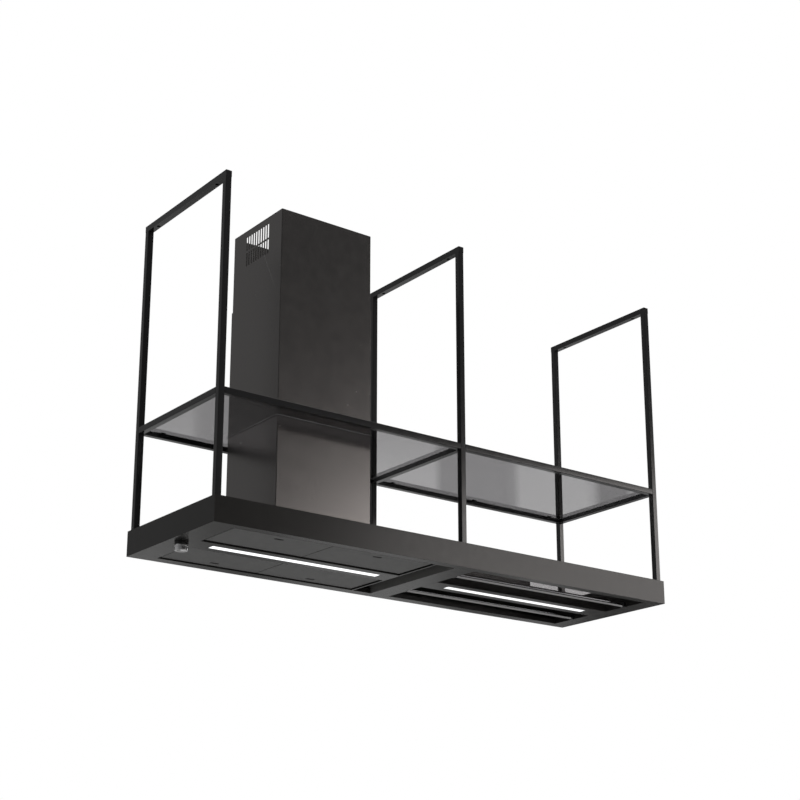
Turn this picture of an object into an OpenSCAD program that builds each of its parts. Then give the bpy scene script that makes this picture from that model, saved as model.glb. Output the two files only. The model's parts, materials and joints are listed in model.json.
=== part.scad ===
// Island range hood that hangs from the ceiling: a slim tray on three square-tube portals,
// with a glass shelf, a telescopic chimney over the extraction module and an open utensil bay.
// The frame's origin is the centre of the ceiling plane. +X runs along the tray, +Y to its back, +Z up.
// All modules work from the tray's lower front left corner, and in_place() moves them to the origin.

/* [Overall size] */
// Length of the tray, left to right
hood_w = 1800; // [1600:10:2400]
// Depth of the tray, front to back
hood_d = 520; // [430:10:800]
// Height from the tray's underside to the ceiling
total_h = 1100; // [910:10:1500]
// Height of the tray
tray_h = 80; // [70:1:110]

/* [Frame] */
// Outer width of the square tube
tube = 20; // [16:1:30]
// Wall of the square tube
tube_wall = 1.5; // [1:0.1:2.5]
// Distance from the tray's end to the outer posts
post_inset_x = 6; // [3:1:20]
// Distance from the tray's front and back to the posts
post_inset_y = 9; // [3:1:20]
// Left side of the middle portal, from the tray's left end
middle_post_x = 906; // [860:1:1100]
// Underside of the shelf rails, above the tray's underside
shelf_z = 391; // [300:1:520]
// Thickness of the shelf glass
glass_t = 6; // [4:1:8]
// Gap around each pane
glass_gap = 1; // [0.5:0.5:2]
// Distance of the ceiling screws from the tray's front and back
screw_inset_y = 78; // [60:1:120]
// Diameter of a ceiling screw hole
screw_hole_d = 6.5; // [5:0.5:9]
// Diameter of the access hole below a ceiling screw
access_hole_d = 12; // [10:0.5:15]

/* [Tray] */
// Thickness of the folded sheet
sheet = 1.5; // [1:0.1:2]
// Width of the left end box
left_end_w = 80; // [70:1:120]
// Width of the cross box under the middle portal
middle_box_w = 77; // [60:1:100]
// How far the cross box reaches left of the middle portal
middle_box_reach = 13; // [5:1:30]
// Width of the right end box
right_end_w = 72; // [50:1:100]
// Open trough between the extraction module and the cross box
trough_w = 73; // [40:1:100]
// Width of the front skirt's lower flange
front_flange = 30; // [20:1:40]
// Width of the back skirt's lower flange
back_flange = 40; // [20:1:50]
// Width of both skirts' upper flanges
top_flange = 45; // [35:1:60]
// Width of the bridge that carries the lights
bridge_w = 86; // [70:1:100]
// Height of the lips that the filters rest on
lip_h = 16; // [15:1:22]
// Left rim of the extraction module's opening
module_rim_left = 4; // [3:1:10]
// Right rim of the extraction module's opening
module_rim_right = 6; // [4:1:12]

/* [Suction panels] */
// Suction gap in front of and behind the panels
panel_gap_y = 11; // [8:1:15]
// Suction gap at the ends of the panels
panel_gap_x = 8; // [6:1:12]
// Panel seam, from the tray's left end
panel_seam_x = 436; // [400:1:470]
// Gap between two panels
panel_seam = 3; // [2.5:0.5:4]
// How far the panels sit above the tray's underside
panel_recess = 3; // [1:0.5:4]
// Height of a panel's folded rim
panel_rim = 8; // [6:1:10]
// Sheet of a panel
panel_sheet = 1.2; // [0.8:0.1:1.5]
// Diameter of a hinge pin
hinge_pin_d = 4; // [3:0.5:5]
// Radial clearance of the hinge pins and the flap pin
pin_clearance = 0.05; // [0.02:0.01:0.1]
// Length of a finger pull
pull_w = 34; // [24:1:50]
// Distance of a finger pull from the panel's outer edge
pull_inset = 31; // [20:1:45]
// Thickness of a grease filter
filter_t = 14; // [8:1:20]

/* [Lights] */
// Width of the visible light strip
light_w = 30; // [15:1:40]
// Left end of the hood light, from the tray's left end
hood_light_start = 144; // [120:1:200]
// Distance from the hood light's right end to the module's right side
hood_light_rest = 60; // [40:1:120]
// Distance from the bay light's ends to the ends of its bay
bay_light_inset = 72; // [40:1:120]
// Height of a light's channel
light_channel_h = 13; // [11:1:20]

/* [Utensil bay] */
// Diameter of a hanging rod
rod_d = 12; // [8:1:16]
// Distance of the rods from the tray's front and back
rod_inset = 130; // [100:1:160]
// Height of the rods' centre
rod_z = 7; // [6.5:0.5:20]
// Depth of the closed part of the bay's top, from the tray's back
deck_d = 187; // [150:1:230]
// Length of the service box
service_box_w = 525; // [400:5:640]
// Height of the service box above the tray
service_box_h = 60; // [50:5:100]

/* [Chimney] */
// Width of the lower sleeve
chimney_w = 350; // [320:5:420]
// Depth of the lower sleeve
chimney_d = 290; // [280:5:340]
// Top of the lower sleeve, above the tray's underside
lower_sleeve_z = 830; // [760:5:860]
// Sheet of both sleeves
sleeve_sheet = 1.2; // [0.8:0.1:1.5]
// Gap between the two sleeves
sleeve_gap = 0.8; // [0.5:0.1:1.5]
// Overlap of the two sleeves
sleeve_overlap = 50; // [30:5:80]
// Gap between the upper sleeve and the ceiling
ceiling_gap = 6; // [2:1:15]
// Vent slots in each row
slot_count = 10; // [6:1:12]
// Height of a vent slot
slot_h = 48; // [30:1:50]
// Pitch of the vent slots
slot_pitch = 14; // [12:0.5:16]
// Width of a vent slot
slot_w = 8; // [5:0.5:9]

/* [Blower] */
// Outer diameter of the outlet spigot
spigot_d = 150; // [120:1:152]
// Height of the outlet spigot
spigot_h = 85; // [80:1:120]
// Diameter of the blower casing
casing_d = 236; // [220:1:240]
// Width of the blower casing
casing_w = 160; // [158:1:190]
// Diameter of the impeller
impeller_d = 160; // [140:1:170]
// Blades on the impeller
blade_count = 32; // [20:1:40]
// Diameter of the motor
motor_d = 90; // [70:1:96]
// Diameter of the motor's shaft
shaft_d = 10; // [8:1:12]

/* [Control] */
// Diameter of the knob
knob_d = 40; // [30:1:50]
// Height of the knob
knob_h = 20; // [14:1:26]
// Distance of the knob from the tray's left end
knob_x = 44; // [36:1:60]
// Diameter of the knob's stem
stem_d = 6; // [5:0.5:8]

/* [Hidden] */
$fn = 48;

// Small step that takes a cut past the face it opens
over = 1;

// Frame
post_y_front = post_inset_y;
post_y_back = hood_d - post_inset_y - tube;
left_post_x = post_inset_x;
right_post_x = hood_w - post_inset_x - tube;
post_top = total_h - tube;
rail_y0 = post_y_front + tube;
rail_y1 = post_y_back;
shelf_top = shelf_z + tube;
glass_z = shelf_top - glass_t;
pad_t = 1;
pad_d = 14;
tab_t = 2;
tab_l = 16;

// Tray
middle_box_x0 = middle_post_x - middle_box_reach;
middle_box_x1 = middle_box_x0 + middle_box_w;
right_box_x0 = hood_w - right_end_w;
module_x0 = left_end_w;
module_x1 = middle_box_x0 - trough_w;
bridge_y0 = (hood_d - bridge_w) / 2;
bridge_y1 = bridge_y0 + bridge_w;
back_flange_y = hood_d - back_flange;
plate_z = tray_h - sheet;
opening_x0 = module_x0 + module_rim_left;
opening_x1 = module_x1 - module_rim_right;

// Suction panels
panel_x0 = opening_x0 + panel_gap_x;
panel_x1 = opening_x1 - panel_gap_x;
seam_x0 = panel_seam_x - panel_seam / 2;
seam_x1 = panel_seam_x + panel_seam / 2;
front_panel_y0 = front_flange + panel_gap_y;
front_panel_y1 = bridge_y0 - panel_gap_y;
back_panel_y0 = bridge_y1 + panel_gap_y;
back_gap_less = 2;
back_panel_y1 = back_flange_y - panel_gap_y + back_gap_less;
hinge_offset = 4;
hinge_rise = 6;
hinge_z = panel_recess + hinge_rise;
ear_l = 10;
ear_h = 10;
lug_t = 2;
lug_drop = 4;
lug_gap = 0.5;
pin_reach = 3;
pull_d = 12;
cup_wall = 2;
filter_gap = 1;

// Chimney and blower
chimney_x = (module_x0 + module_x1) / 2;
chimney_y = hood_d / 2;
upper_w = chimney_w - 2 * (sleeve_sheet + sleeve_gap);
upper_d = chimney_d - 2 * (sleeve_sheet + sleeve_gap);
upper_z0 = lower_sleeve_z - sleeve_overlap;
upper_z1 = total_h - ceiling_gap;
slot_margin = 24;
slot_top = upper_z1 - slot_margin;
slot_rows = 2;
slot_web = 6;
casing_rise = 2;
casing_z = tray_h + casing_d / 2 + casing_rise;
casing_sheet = 1.5;
outlet_rim = 5;
outlet_w = spigot_d + 2 * outlet_rim;
neck_h = 22;
casing_top = casing_z + casing_d / 2 + neck_h;
inlet_rim = 16;
inlet_hole_d = impeller_d - 2 * inlet_rim;
impeller_side_gap = 11;
impeller_l = casing_w - 2 * impeller_side_gap;
blade_depth = 14;
blade_t = 1.2;
ring_t = 3;
hub_d = 28;
hub_l = 28;
hub_shift = 4;
motor_gap = 4;
motor_overhang = 32;
motor_front = chimney_x + hub_shift + hub_l / 2 + motor_gap;
motor_l = casing_w / 2 - (motor_front - chimney_x) + motor_overhang;
spigot_wall = 1.5;
flap_rise = 32;
flap_z = casing_top + flap_rise;
flap_pin_d = 4;
flap_t = 1.5;
flap_edge_gap = 1.5;
knuckle_d = 9;
knuckle_l = 12;
knuckle_gap = 0.6;
lid_gap = 0.6;
lid_t = 1.5;
lid_z = casing_top + lid_t;
air_slot_w = 75;
air_slot_d = 250;
air_slot_margin = 8;

// Control
knob_y = hood_d / 2;
collar_d = knob_d + 2;
collar_h = 7;
knob_gap = 0.6;
stem_top = 18;
stem_clearance = 0.05;
board_w = 56;
board_l = 140;
board_t = 1.6;
board_z = stem_top + 2;
switch_w = 16;
relay = [20, 14, 10];
relay_places = [-50, 36];

// Lights
light_y = hood_d / 2;
hood_light_end = module_x1 - hood_light_rest;
bay_light_start = middle_box_x1 + bay_light_inset;
bay_light_end = right_box_x0 - bay_light_inset;
lens_gap = 0.3;
lens_flange = 3;
lens_flange_t = 2;
channel_wall = 1.5;
channel_clearance = 2;
channel_w = light_w + 2 * (lens_flange + channel_clearance);
strip_t = 1.5;
strip_inset = 3;
chip_t = 1;
chip = 5;
chip_pitch = 16;

// Utensil bay
deck_y = hood_d - deck_d;
deck_glass_lap = 10;
deck_glass_y0 = post_y_front + tube + 6;
deck_glass_y1 = deck_y + 20;
service_box_x = middle_box_x1 + 5;
service_box_y0 = deck_glass_y1 + 3;
service_box_y1 = post_y_back - 20;
box_sheet = 1.2;
driver_x = 60;
driver_y = 15;
driver_l = 180;
driver_w = 55;
driver_h = 32;
driver_foot_l = 14;
driver_foot_h = 4;

// Cable gland, in the chamber's lid beside the spigot
gland_d = 20;
gland_bore = 9;
gland_nut_d = gland_d + 8;
gland_nut_h = 8;
gland_hex_h = 6;
gland_neck_h = 8;
gland_x = chimney_x + chimney_w / 2 - 50;

// Vertical piece of square tube with an open bore
module tube_up(h) {
    difference() {
        cube([tube, tube, h]);
        translate([tube_wall, tube_wall, -over])
            cube([tube - 2 * tube_wall, tube - 2 * tube_wall, h + 2 * over]);
    }
}

// Piece of square tube along X with an open bore
module tube_along_x(l) {
    difference() {
        cube([l, tube, tube]);
        translate([-over, tube_wall, tube_wall])
            cube([l + 2 * over, tube - 2 * tube_wall, tube - 2 * tube_wall]);
    }
}

// Piece of square tube along Y with an open bore
module tube_along_y(l) {
    difference() {
        cube([tube, l, tube]);
        translate([tube_wall, -over, tube_wall])
            cube([tube - 2 * tube_wall, l + 2 * over, tube - 2 * tube_wall]);
    }
}

// Moves the tray's corner so that the ceiling plane's centre is the origin
module in_place() {
    translate([-hood_w / 2, -hood_d / 2, -total_h]) children();
}

// Front and back post of one portal
module posts(x) {
    for (y = [post_y_front, post_y_back])
        translate([x, y, tray_h]) tube_up(post_top - tray_h);
}

module left_posts() {
    color("#2b2b2b") in_place() posts(left_post_x);
}

module middle_posts() {
    color("#2b2b2b") in_place() posts(middle_post_x);
}

module right_posts() {
    color("#2b2b2b") in_place() posts(right_post_x);
}

// Top rail of one portal, capped at both ends, with two ceiling screw holes
module top_rail(x) {
    length = post_y_back + tube - post_y_front;
    difference() {
        translate([x, post_y_front, post_top]) cube([tube, length, tube]);
        translate([x + tube_wall, post_y_front + tube_wall, post_top + tube_wall])
            cube([tube - 2 * tube_wall, length - 2 * tube_wall, tube - 2 * tube_wall]);
        for (y = [screw_inset_y, hood_d - screw_inset_y])
            translate([x + tube / 2, y, 0]) {
                translate([0, 0, post_top - over]) cylinder(d = access_hole_d, h = tube_wall + 2 * over);
                translate([0, 0, total_h - tube_wall - over])
                    cylinder(d = screw_hole_d, h = tube_wall + 2 * over);
            }
    }
}

module left_top_rail() {
    color("#2b2b2b") in_place() top_rail(left_post_x);
}

module middle_top_rail() {
    color("#2b2b2b") in_place() top_rail(middle_post_x);
}

module right_top_rail() {
    color("#2b2b2b") in_place() top_rail(right_post_x);
}

// Cross rail of the shelf, between the two posts of one portal
module shelf_cross_rail(x) {
    translate([x, rail_y0, shelf_z]) tube_along_y(rail_y1 - rail_y0);
}

module left_shelf_rail() {
    color("#2b2b2b") in_place() shelf_cross_rail(left_post_x);
}

module middle_shelf_rail() {
    color("#2b2b2b") in_place() shelf_cross_rail(middle_post_x);
}

module right_shelf_rail() {
    color("#2b2b2b") in_place() shelf_cross_rail(right_post_x);
}

// Long rails of the shelf, one in each bay between the posts
module shelf_long_rails(y) {
    translate([left_post_x + tube, y, shelf_z]) tube_along_x(middle_post_x - left_post_x - tube);
    translate([middle_post_x + tube, y, shelf_z]) tube_along_x(right_post_x - middle_post_x - tube);
}

module front_shelf_rails() {
    color("#2b2b2b") in_place() shelf_long_rails(post_y_front);
}

module back_shelf_rails() {
    color("#2b2b2b") in_place() shelf_long_rails(post_y_back);
}

// Pane of shelf glass between two X positions
module pane(x0, x1) {
    translate([x0, rail_y0 + glass_gap, glass_z])
        cube([x1 - x0, rail_y1 - rail_y0 - 2 * glass_gap, glass_t]);
}

// Clearance cut for the chimney in the shelf glass
module chimney_cut() {
    gap = 2;
    translate([chimney_x - chimney_w / 2 - gap, chimney_y - chimney_d / 2 - gap, glass_z - over])
        cube([chimney_w + 2 * gap, chimney_d + 2 * gap, glass_t + 2 * over]);
}

module shelf_glass_left() {
    color("#6f6d6d", 0.6) in_place() difference() {
        pane(left_post_x + tube + glass_gap, chimney_x - glass_gap / 4);
        chimney_cut();
    }
}

module shelf_glass_centre() {
    color("#6f6d6d", 0.6) in_place() difference() {
        pane(chimney_x + glass_gap / 4, middle_post_x - glass_gap);
        chimney_cut();
    }
}

module shelf_glass_right() {
    color("#6f6d6d", 0.6) in_place() pane(middle_post_x + tube + glass_gap, right_post_x - glass_gap);
}

// X positions of the glass supports along the long rails
function tab_places() = [
    left_post_x + tube + 60,
    chimney_x,
    middle_post_x - 60,
    middle_post_x + tube + 60,
    (middle_post_x + tube + right_post_x) / 2,
    right_post_x - 60
];

// Welded tabs inside the long rails that carry the glass
module glass_tabs() {
    color("#2b2b2b") in_place()
        for (x = tab_places()) {
            translate([x - tab_l / 2, rail_y0, glass_z - pad_t - tab_t]) cube([tab_l, tab_l, tab_t]);
            translate([x - tab_l / 2, rail_y1 - tab_l, glass_z - pad_t - tab_t])
                cube([tab_l, tab_l, tab_t]);
        }
}

// Soft discs between the tabs and the glass
module glass_pads() {
    color("#8a8a8a") in_place()
        for (x = tab_places(), y = [rail_y0 + tab_l / 2, rail_y1 - tab_l / 2])
            translate([x, y, glass_z - pad_t]) cylinder(d = pad_d, h = pad_t);
}

// The two stretches of skirt between the cross boxes
function skirt_spans() = [[module_x0, middle_box_x0], [middle_box_x1, right_box_x0]];

// Long folded side of the tray, with its flanges towards +Y
module skirt(flange) {
    cube([hood_w, sheet, tray_h]);
    for (span = skirt_spans())
        translate([span[0], 0, 0]) {
            length = span[1] - span[0];
            cube([length, flange, sheet]);
            translate([0, 0, plate_z]) cube([length, top_flange, sheet]);
            translate([0, flange - sheet, 0]) cube([length, sheet, lip_h]);
        }
}

module front_skirt() {
    color("#3a3836") in_place() skirt(front_flange);
}

module back_skirt() {
    color("#3a3836") in_place() translate([0, hood_d, 0]) mirror([0, 1, 0]) skirt(back_flange);
}

// Box section that crosses the tray between the skirts
module cross_box(x, w) {
    difference() {
        translate([x, sheet, 0]) cube([w, hood_d - 2 * sheet, tray_h]);
        translate([x + sheet, sheet - over, sheet])
            cube([w - 2 * sheet, hood_d - 2 * sheet + 2 * over, tray_h - 2 * sheet]);
    }
}

module left_end_box() {
    color("#4a4a4a") in_place() difference() {
        cross_box(0, left_end_w);
        translate([knob_x, knob_y, -over]) cylinder(d = stem_d + 2, h = sheet + 2 * over);
    }
}

module middle_box() {
    color("#4a4a4a") in_place() cross_box(middle_box_x0, middle_box_w);
}

module right_end_box() {
    color("#4a4a4a") in_place() cross_box(right_box_x0, right_end_w);
}

// Top of the extraction module, with two air slots below the blower chamber
module hood_top_plate() {
    slot_x = chimney_w / 2 - sleeve_sheet - air_slot_w - air_slot_margin;
    color("#3a3836") in_place() difference() {
        translate([module_x0, top_flange, plate_z])
            cube([middle_box_x0 - module_x0, hood_d - 2 * top_flange, sheet]);
        for (side = [0, 1])
            translate([chimney_x, chimney_y - air_slot_d / 2, plate_z - over]) mirror([side, 0, 0])
                translate([slot_x, 0, 0]) cube([air_slot_w, air_slot_d, sheet + 2 * over]);
    }
}

// Underside of the extraction module: the light bridge, both end rims and the right side wall
module hood_fascia() {
    rim_l = back_flange_y - front_flange;
    color("#4a4a4a") in_place() difference() {
        union() {
            translate([module_x0, bridge_y0, 0]) cube([module_x1 - module_x0, bridge_w, sheet]);
            for (y = [bridge_y0, bridge_y1 - sheet])
                translate([module_x0, y, 0]) cube([module_x1 - module_x0, sheet, lip_h]);
            translate([module_x0, front_flange, 0]) cube([module_rim_left, rim_l, sheet]);
            translate([opening_x1, front_flange, 0]) cube([module_rim_right, rim_l, sheet]);
            translate([module_x1 - sheet, front_flange, 0]) cube([sheet, rim_l, plate_z]);
        }
        light_cut(hood_light_start, module_x1 - hood_light_rest);
    }
}

// Suction panel: a shallow folded pan with two hinge ears along its inner edge and a finger pull
module panel(x0, x1, depth) {
    w = x1 - x0;
    cup_h = panel_rim - 1;
    difference() {
        union() {
            difference() {
                cube([w, depth, panel_rim]);
                translate([panel_sheet, panel_sheet, panel_sheet])
                    cube([w - 2 * panel_sheet, depth - 2 * panel_sheet, panel_rim]);
            }
            for (x = [0, w - panel_sheet])
                translate([x, depth - ear_l, 0]) cube([panel_sheet, ear_l, ear_h]);
            translate([w / 2, pull_inset, 0])
                finger_cup(pull_w + 2 * cup_wall, pull_d + 2 * cup_wall, cup_h);
        }
        translate([-over, depth - hinge_offset, hinge_z - panel_recess]) rotate([0, 90, 0])
            cylinder(r = hinge_pin_d / 2 + pin_clearance, h = w + 2 * over);
        translate([w / 2, pull_inset, -over]) finger_cup(pull_w, pull_d, cup_h - 1 + over);
    }
}

// Solid with round ends that a finger pull's pocket is made from
module finger_cup(l, w, h) {
    translate([-(l - w) / 2, -w / 2, 0]) cube([l - w, w, h]);
    for (side = [-1, 1])
        translate([side * (l - w) / 2, 0, 0]) cylinder(d = w, h = h);
}

module front_panel(x0, x1) {
    translate([x0, front_panel_y0, panel_recess]) panel(x0, x1, front_panel_y1 - front_panel_y0);
}

module back_panel(x0, x1) {
    translate([x0, back_panel_y1, panel_recess]) mirror([0, 1, 0])
        panel(x0, x1, back_panel_y1 - back_panel_y0);
}

module front_left_panel() {
    color("#565656") in_place() front_panel(panel_x0, seam_x0);
}

module front_right_panel() {
    color("#565656") in_place() front_panel(seam_x1, panel_x1);
}

module back_left_panel() {
    color("#565656") in_place() back_panel(panel_x0, seam_x0);
}

module back_right_panel() {
    color("#565656") in_place() back_panel(seam_x1, panel_x1);
}

// Lugs on the bridge with the pins that the panels turn on
module hinge_row(hinge_y, lug_y0, lug_y1) {
    lug_places = [panel_x0 - lug_gap - lug_t, panel_seam_x - lug_t / 2, panel_x1 + lug_gap];
    pin_x0 = [0, -pin_reach - lug_gap - panel_sheet, -pin_reach - lug_gap - panel_sheet];
    pin_x1 = [pin_reach + lug_gap + panel_sheet, pin_reach + lug_gap + panel_sheet, 0];
    for (i = [0:2])
        translate([lug_places[i], 0, 0]) {
            translate([0, lug_y0, hinge_z - lug_drop])
                cube([lug_t, lug_y1 - lug_y0, lip_h - hinge_z + lug_drop]);
            translate([pin_x0[i], hinge_y, hinge_z]) rotate([0, 90, 0])
                cylinder(d = hinge_pin_d, h = lug_t + pin_x1[i] - pin_x0[i]);
        }
}

module panel_hinges() {
    lug_end = 4;
    front_hinge_y = front_panel_y1 - hinge_offset;
    back_hinge_y = back_panel_y0 + hinge_offset;
    color("silver") in_place() {
        hinge_row(front_hinge_y, front_hinge_y - lug_end, bridge_y0);
        hinge_row(back_hinge_y, bridge_y1, back_hinge_y + lug_end);
    }
}

// Grease filter: a framed cassette with a row of slats
module filter_cassette(x0, x1, y0, y1) {
    border = 12;
    slat_t = 1.5;
    slat_inset = 2;
    slats = 16;
    w = x1 - x0;
    d = y1 - y0;
    step = (w - 2 * border) / (slats + 1);
    translate([x0, y0, lip_h]) {
        difference() {
            cube([w, d, filter_t]);
            translate([border, border, -over]) cube([w - 2 * border, d - 2 * border, filter_t + 2 * over]);
        }
        for (i = [1:slats])
            translate([border + i * step - slat_t / 2, border, slat_inset])
                cube([slat_t, d - 2 * border, filter_t - 2 * slat_inset]);
        translate([border, d / 2 - slat_t / 2, slat_inset])
            cube([w - 2 * border, slat_t, filter_t - 2 * slat_inset]);
    }
}

module filter_pair(y0, y1) {
    filter_cassette(module_x0 + filter_gap, panel_seam_x - filter_gap, y0, y1);
    filter_cassette(panel_seam_x + filter_gap, module_x1 - sheet - filter_gap, y0, y1);
}

module front_filters() {
    color("silver") in_place() filter_pair(front_flange - sheet, bridge_y0 + sheet);
}

module back_filters() {
    color("silver") in_place() filter_pair(bridge_y1 - sheet, back_flange_y + sheet);
}

// Light module: a slot in the sheet, an aluminium channel, a circuit strip and a lens
module light_cut(x0, x1) {
    translate([x0 - lens_gap, light_y - light_w / 2 - lens_gap, -over])
        cube([x1 - x0 + 2 * lens_gap, light_w + 2 * lens_gap, sheet + 2 * over]);
}

module light_channel(x0, x1) {
    margin = lens_flange + channel_clearance;
    inner_h = light_channel_h - sheet - channel_wall;
    difference() {
        translate([x0 - margin, light_y - channel_w / 2, sheet])
            cube([x1 - x0 + 2 * margin, channel_w, light_channel_h - sheet]);
        translate([x0 - margin - over, light_y - channel_w / 2 + channel_wall, sheet - over])
            cube([x1 - x0 + 2 * (margin + over), channel_w - 2 * channel_wall, inner_h + over]);
    }
}

module led_strip(x0, x1) {
    strip_z = light_channel_h - channel_wall - strip_t;
    chips = floor((x1 - x0) / chip_pitch);
    start = (x0 + x1 - (chips - 1) * chip_pitch) / 2;
    translate([x0, light_y - light_w / 2 + strip_inset, strip_z])
        cube([x1 - x0, light_w - 2 * strip_inset, strip_t]);
    for (i = [0:chips - 1])
        translate([start + i * chip_pitch - chip / 2, light_y - chip / 2, strip_z - chip_t])
            cube([chip, chip, chip_t]);
}

module light_lens(x0, x1) {
    translate([x0, light_y - light_w / 2, 0]) cube([x1 - x0, light_w, sheet + lens_flange_t]);
    translate([x0 - lens_flange, light_y - light_w / 2 - lens_flange, sheet])
        cube([x1 - x0 + 2 * lens_flange, light_w + 2 * lens_flange, lens_flange_t]);
}

module hood_light_channel() {
    color("silver") in_place() light_channel(hood_light_start, hood_light_end);
}

module hood_led_strip() {
    color("ivory") in_place() led_strip(hood_light_start, hood_light_end);
}

module hood_light_lens() {
    color("white") in_place() light_lens(hood_light_start, hood_light_end);
}

// Beam along the utensil bay that carries its light
module bay_light_beam() {
    beam_h = 30;
    length = right_box_x0 - middle_box_x1;
    color("#333333") in_place() difference() {
        translate([middle_box_x1, bridge_y0, 0]) cube([length, bridge_w, beam_h]);
        translate([middle_box_x1 - over, bridge_y0 + sheet, sheet])
            cube([length + 2 * over, bridge_w - 2 * sheet, beam_h]);
        light_cut(bay_light_start, bay_light_end);
    }
}

module bay_light_channel() {
    color("silver") in_place() light_channel(bay_light_start, bay_light_end);
}

module bay_led_strip() {
    color("ivory") in_place() led_strip(bay_light_start, bay_light_end);
}

module bay_light_lens() {
    color("white") in_place() light_lens(bay_light_start, bay_light_end);
}

// Closed back part of the utensil bay's top
module deck_plate() {
    color("#3a3836") in_place()
        translate([middle_box_x1, deck_y, plate_z])
            cube([right_box_x0 - middle_box_x1, hood_d - top_flange - deck_y, sheet]);
}

// Glass front part of the bay's top, laid on the skirt's flange and the closed part
module deck_glass() {
    color("#6f6d6d", 0.6) in_place()
        translate([middle_box_x1 - deck_glass_lap, deck_glass_y0, tray_h])
            cube([right_box_x0 - middle_box_x1 + 2 * deck_glass_lap, deck_glass_y1 - deck_glass_y0, glass_t]);
}

// Box on the closed part that holds the driver of the lights
module service_box() {
    depth = service_box_y1 - service_box_y0;
    color("#3a3836") in_place()
        translate([service_box_x, service_box_y0, tray_h]) difference() {
            cube([service_box_w, depth, service_box_h]);
            translate([box_sheet, box_sheet, -over])
                cube([
                    service_box_w - 2 * box_sheet,
                    depth - 2 * box_sheet,
                    service_box_h - box_sheet + over
                ]);
        }
}

// Driver of the lights with a terminal foot at each end
module led_driver() {
    color("white") in_place()
        translate([service_box_x + driver_x, service_box_y0 + driver_y, tray_h]) {
            cube([driver_l, driver_w, driver_h]);
            for (x = [-driver_foot_l, driver_l])
                translate([x, 0, 0]) cube([driver_foot_l, driver_w, driver_foot_h]);
        }
}

// Polished rods that utensils hang from, in a socket at each end
module hanging_rod(y) {
    translate([middle_box_x1, y, rod_z]) rotate([0, 90, 0])
        cylinder(d = rod_d, h = right_box_x0 - middle_box_x1);
}

module front_hanging_rod() {
    color("gainsboro") in_place() hanging_rod(rod_inset);
}

module back_hanging_rod() {
    color("gainsboro") in_place() hanging_rod(hood_d - rod_inset);
}

module rod_sockets() {
    socket_w = rod_d + 8;
    socket_t = 5;
    socket_wall = 1;
    color("#222222") in_place()
        for (x = [middle_box_x1, right_box_x0 - socket_t], y = [rod_inset, hood_d - rod_inset])
            difference() {
                translate([x, y - socket_w / 2, rod_z - rod_d / 2 - socket_wall])
                    cube([socket_t, socket_w, rod_d + 5 * socket_wall]);
                translate([x - over, y, rod_z]) rotate([0, 90, 0])
                    cylinder(d = rod_d, h = socket_t + 2 * over);
            }
}

// Fixed ring that the knob turns below
module knob_collar() {
    color("#1d1d1d") in_place() translate([knob_x, knob_y, -collar_h]) difference() {
        cylinder(d = collar_d, h = collar_h);
        translate([0, 0, -over]) cylinder(d = collar_d - 6, h = collar_h - 2 + over);
        translate([0, 0, -over]) cylinder(d = stem_d + 2, h = collar_h + 2 * over);
    }
}

// Turning knob with a rounded lower edge, a grip groove and the stem that enters the switch
module control_knob() {
    r = knob_d / 2;
    fillet = 3;
    color("gainsboro") in_place() translate([knob_x, knob_y, -collar_h - knob_gap]) {
        rotate_extrude($fn = 64) {
            polygon([[0, 0], [r - 1, 0], [r - 1, -2], [r, -3], [r, -knob_h + fillet], [0, -knob_h + fillet]]);
            translate([0, -knob_h]) square([r - fillet, fillet + 0.01]);
            intersection() {
                translate([r - fillet, -knob_h + fillet]) circle(r = fillet, $fn = 24);
                translate([r - fillet, -knob_h]) square([fillet, fillet]);
            }
        }
        cylinder(d = stem_d, h = collar_h + knob_gap + stem_top);
    }
}

// Circuit board of the control with the rotary switch that holds the stem
module control_board() {
    color("darkgreen") in_place() translate([knob_x, knob_y, 0]) {
        translate([-board_w / 2, -board_l / 2, board_z]) cube([board_w, board_l, board_t]);
        difference() {
            translate([-switch_w / 2, -switch_w / 2, sheet]) cube([switch_w, switch_w, board_z - sheet]);
            cylinder(r = stem_d / 2 + stem_clearance, h = stem_top + 1);
        }
        for (y = relay_places)
            translate([-relay[0] / 2, y, board_z + board_t]) cube(relay);
    }
}

// Gland that the mains cable comes through, from the ceiling down inside the chimney
module cable_gland() {
    length = gland_nut_h + lid_t + gland_hex_h + gland_neck_h;
    color("#222222") in_place() translate([gland_x, chimney_y, lid_z - gland_nut_h]) difference() {
        union() {
            cylinder(d = gland_nut_d, h = gland_nut_h);
            cylinder(d = gland_d, h = length);
            translate([0, 0, gland_nut_h + lid_t]) cylinder(d = gland_nut_d, h = gland_hex_h);
        }
        translate([0, 0, -over]) cylinder(d = gland_bore, h = length + 2 * over);
    }
}

// Blower casing: a round housing on a foot with a square outlet on top
module blower_casing() {
    inner_d = casing_d - 2 * casing_sheet;
    inner_w = casing_w - 2 * casing_sheet;
    foot_w = 70;
    foot_h = 20;
    color("#b9bcbe") in_place() translate([chimney_x, chimney_y, 0]) difference() {
        union() {
            translate([-casing_w / 2, 0, casing_z]) rotate([0, 90, 0])
                cylinder(d = casing_d, h = casing_w, $fn = 96);
            translate([-casing_w / 2, -outlet_w / 2, casing_z])
                cube([casing_w, outlet_w, casing_top - casing_z]);
            translate([-casing_w / 2, -foot_w / 2, tray_h]) cube([casing_w, foot_w, foot_h]);
        }
        translate([-inner_w / 2, 0, casing_z]) rotate([0, 90, 0])
            cylinder(d = inner_d, h = inner_w, $fn = 96);
        translate([-inner_w / 2, -outlet_w / 2 + casing_sheet, casing_z])
            cube([inner_w, outlet_w - 2 * casing_sheet, casing_top - casing_z + over]);
        translate([-casing_w / 2 - over, 0, casing_z]) rotate([0, 90, 0])
            cylinder(d = inlet_hole_d, h = casing_w + 2 * over);
    }
}

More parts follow.
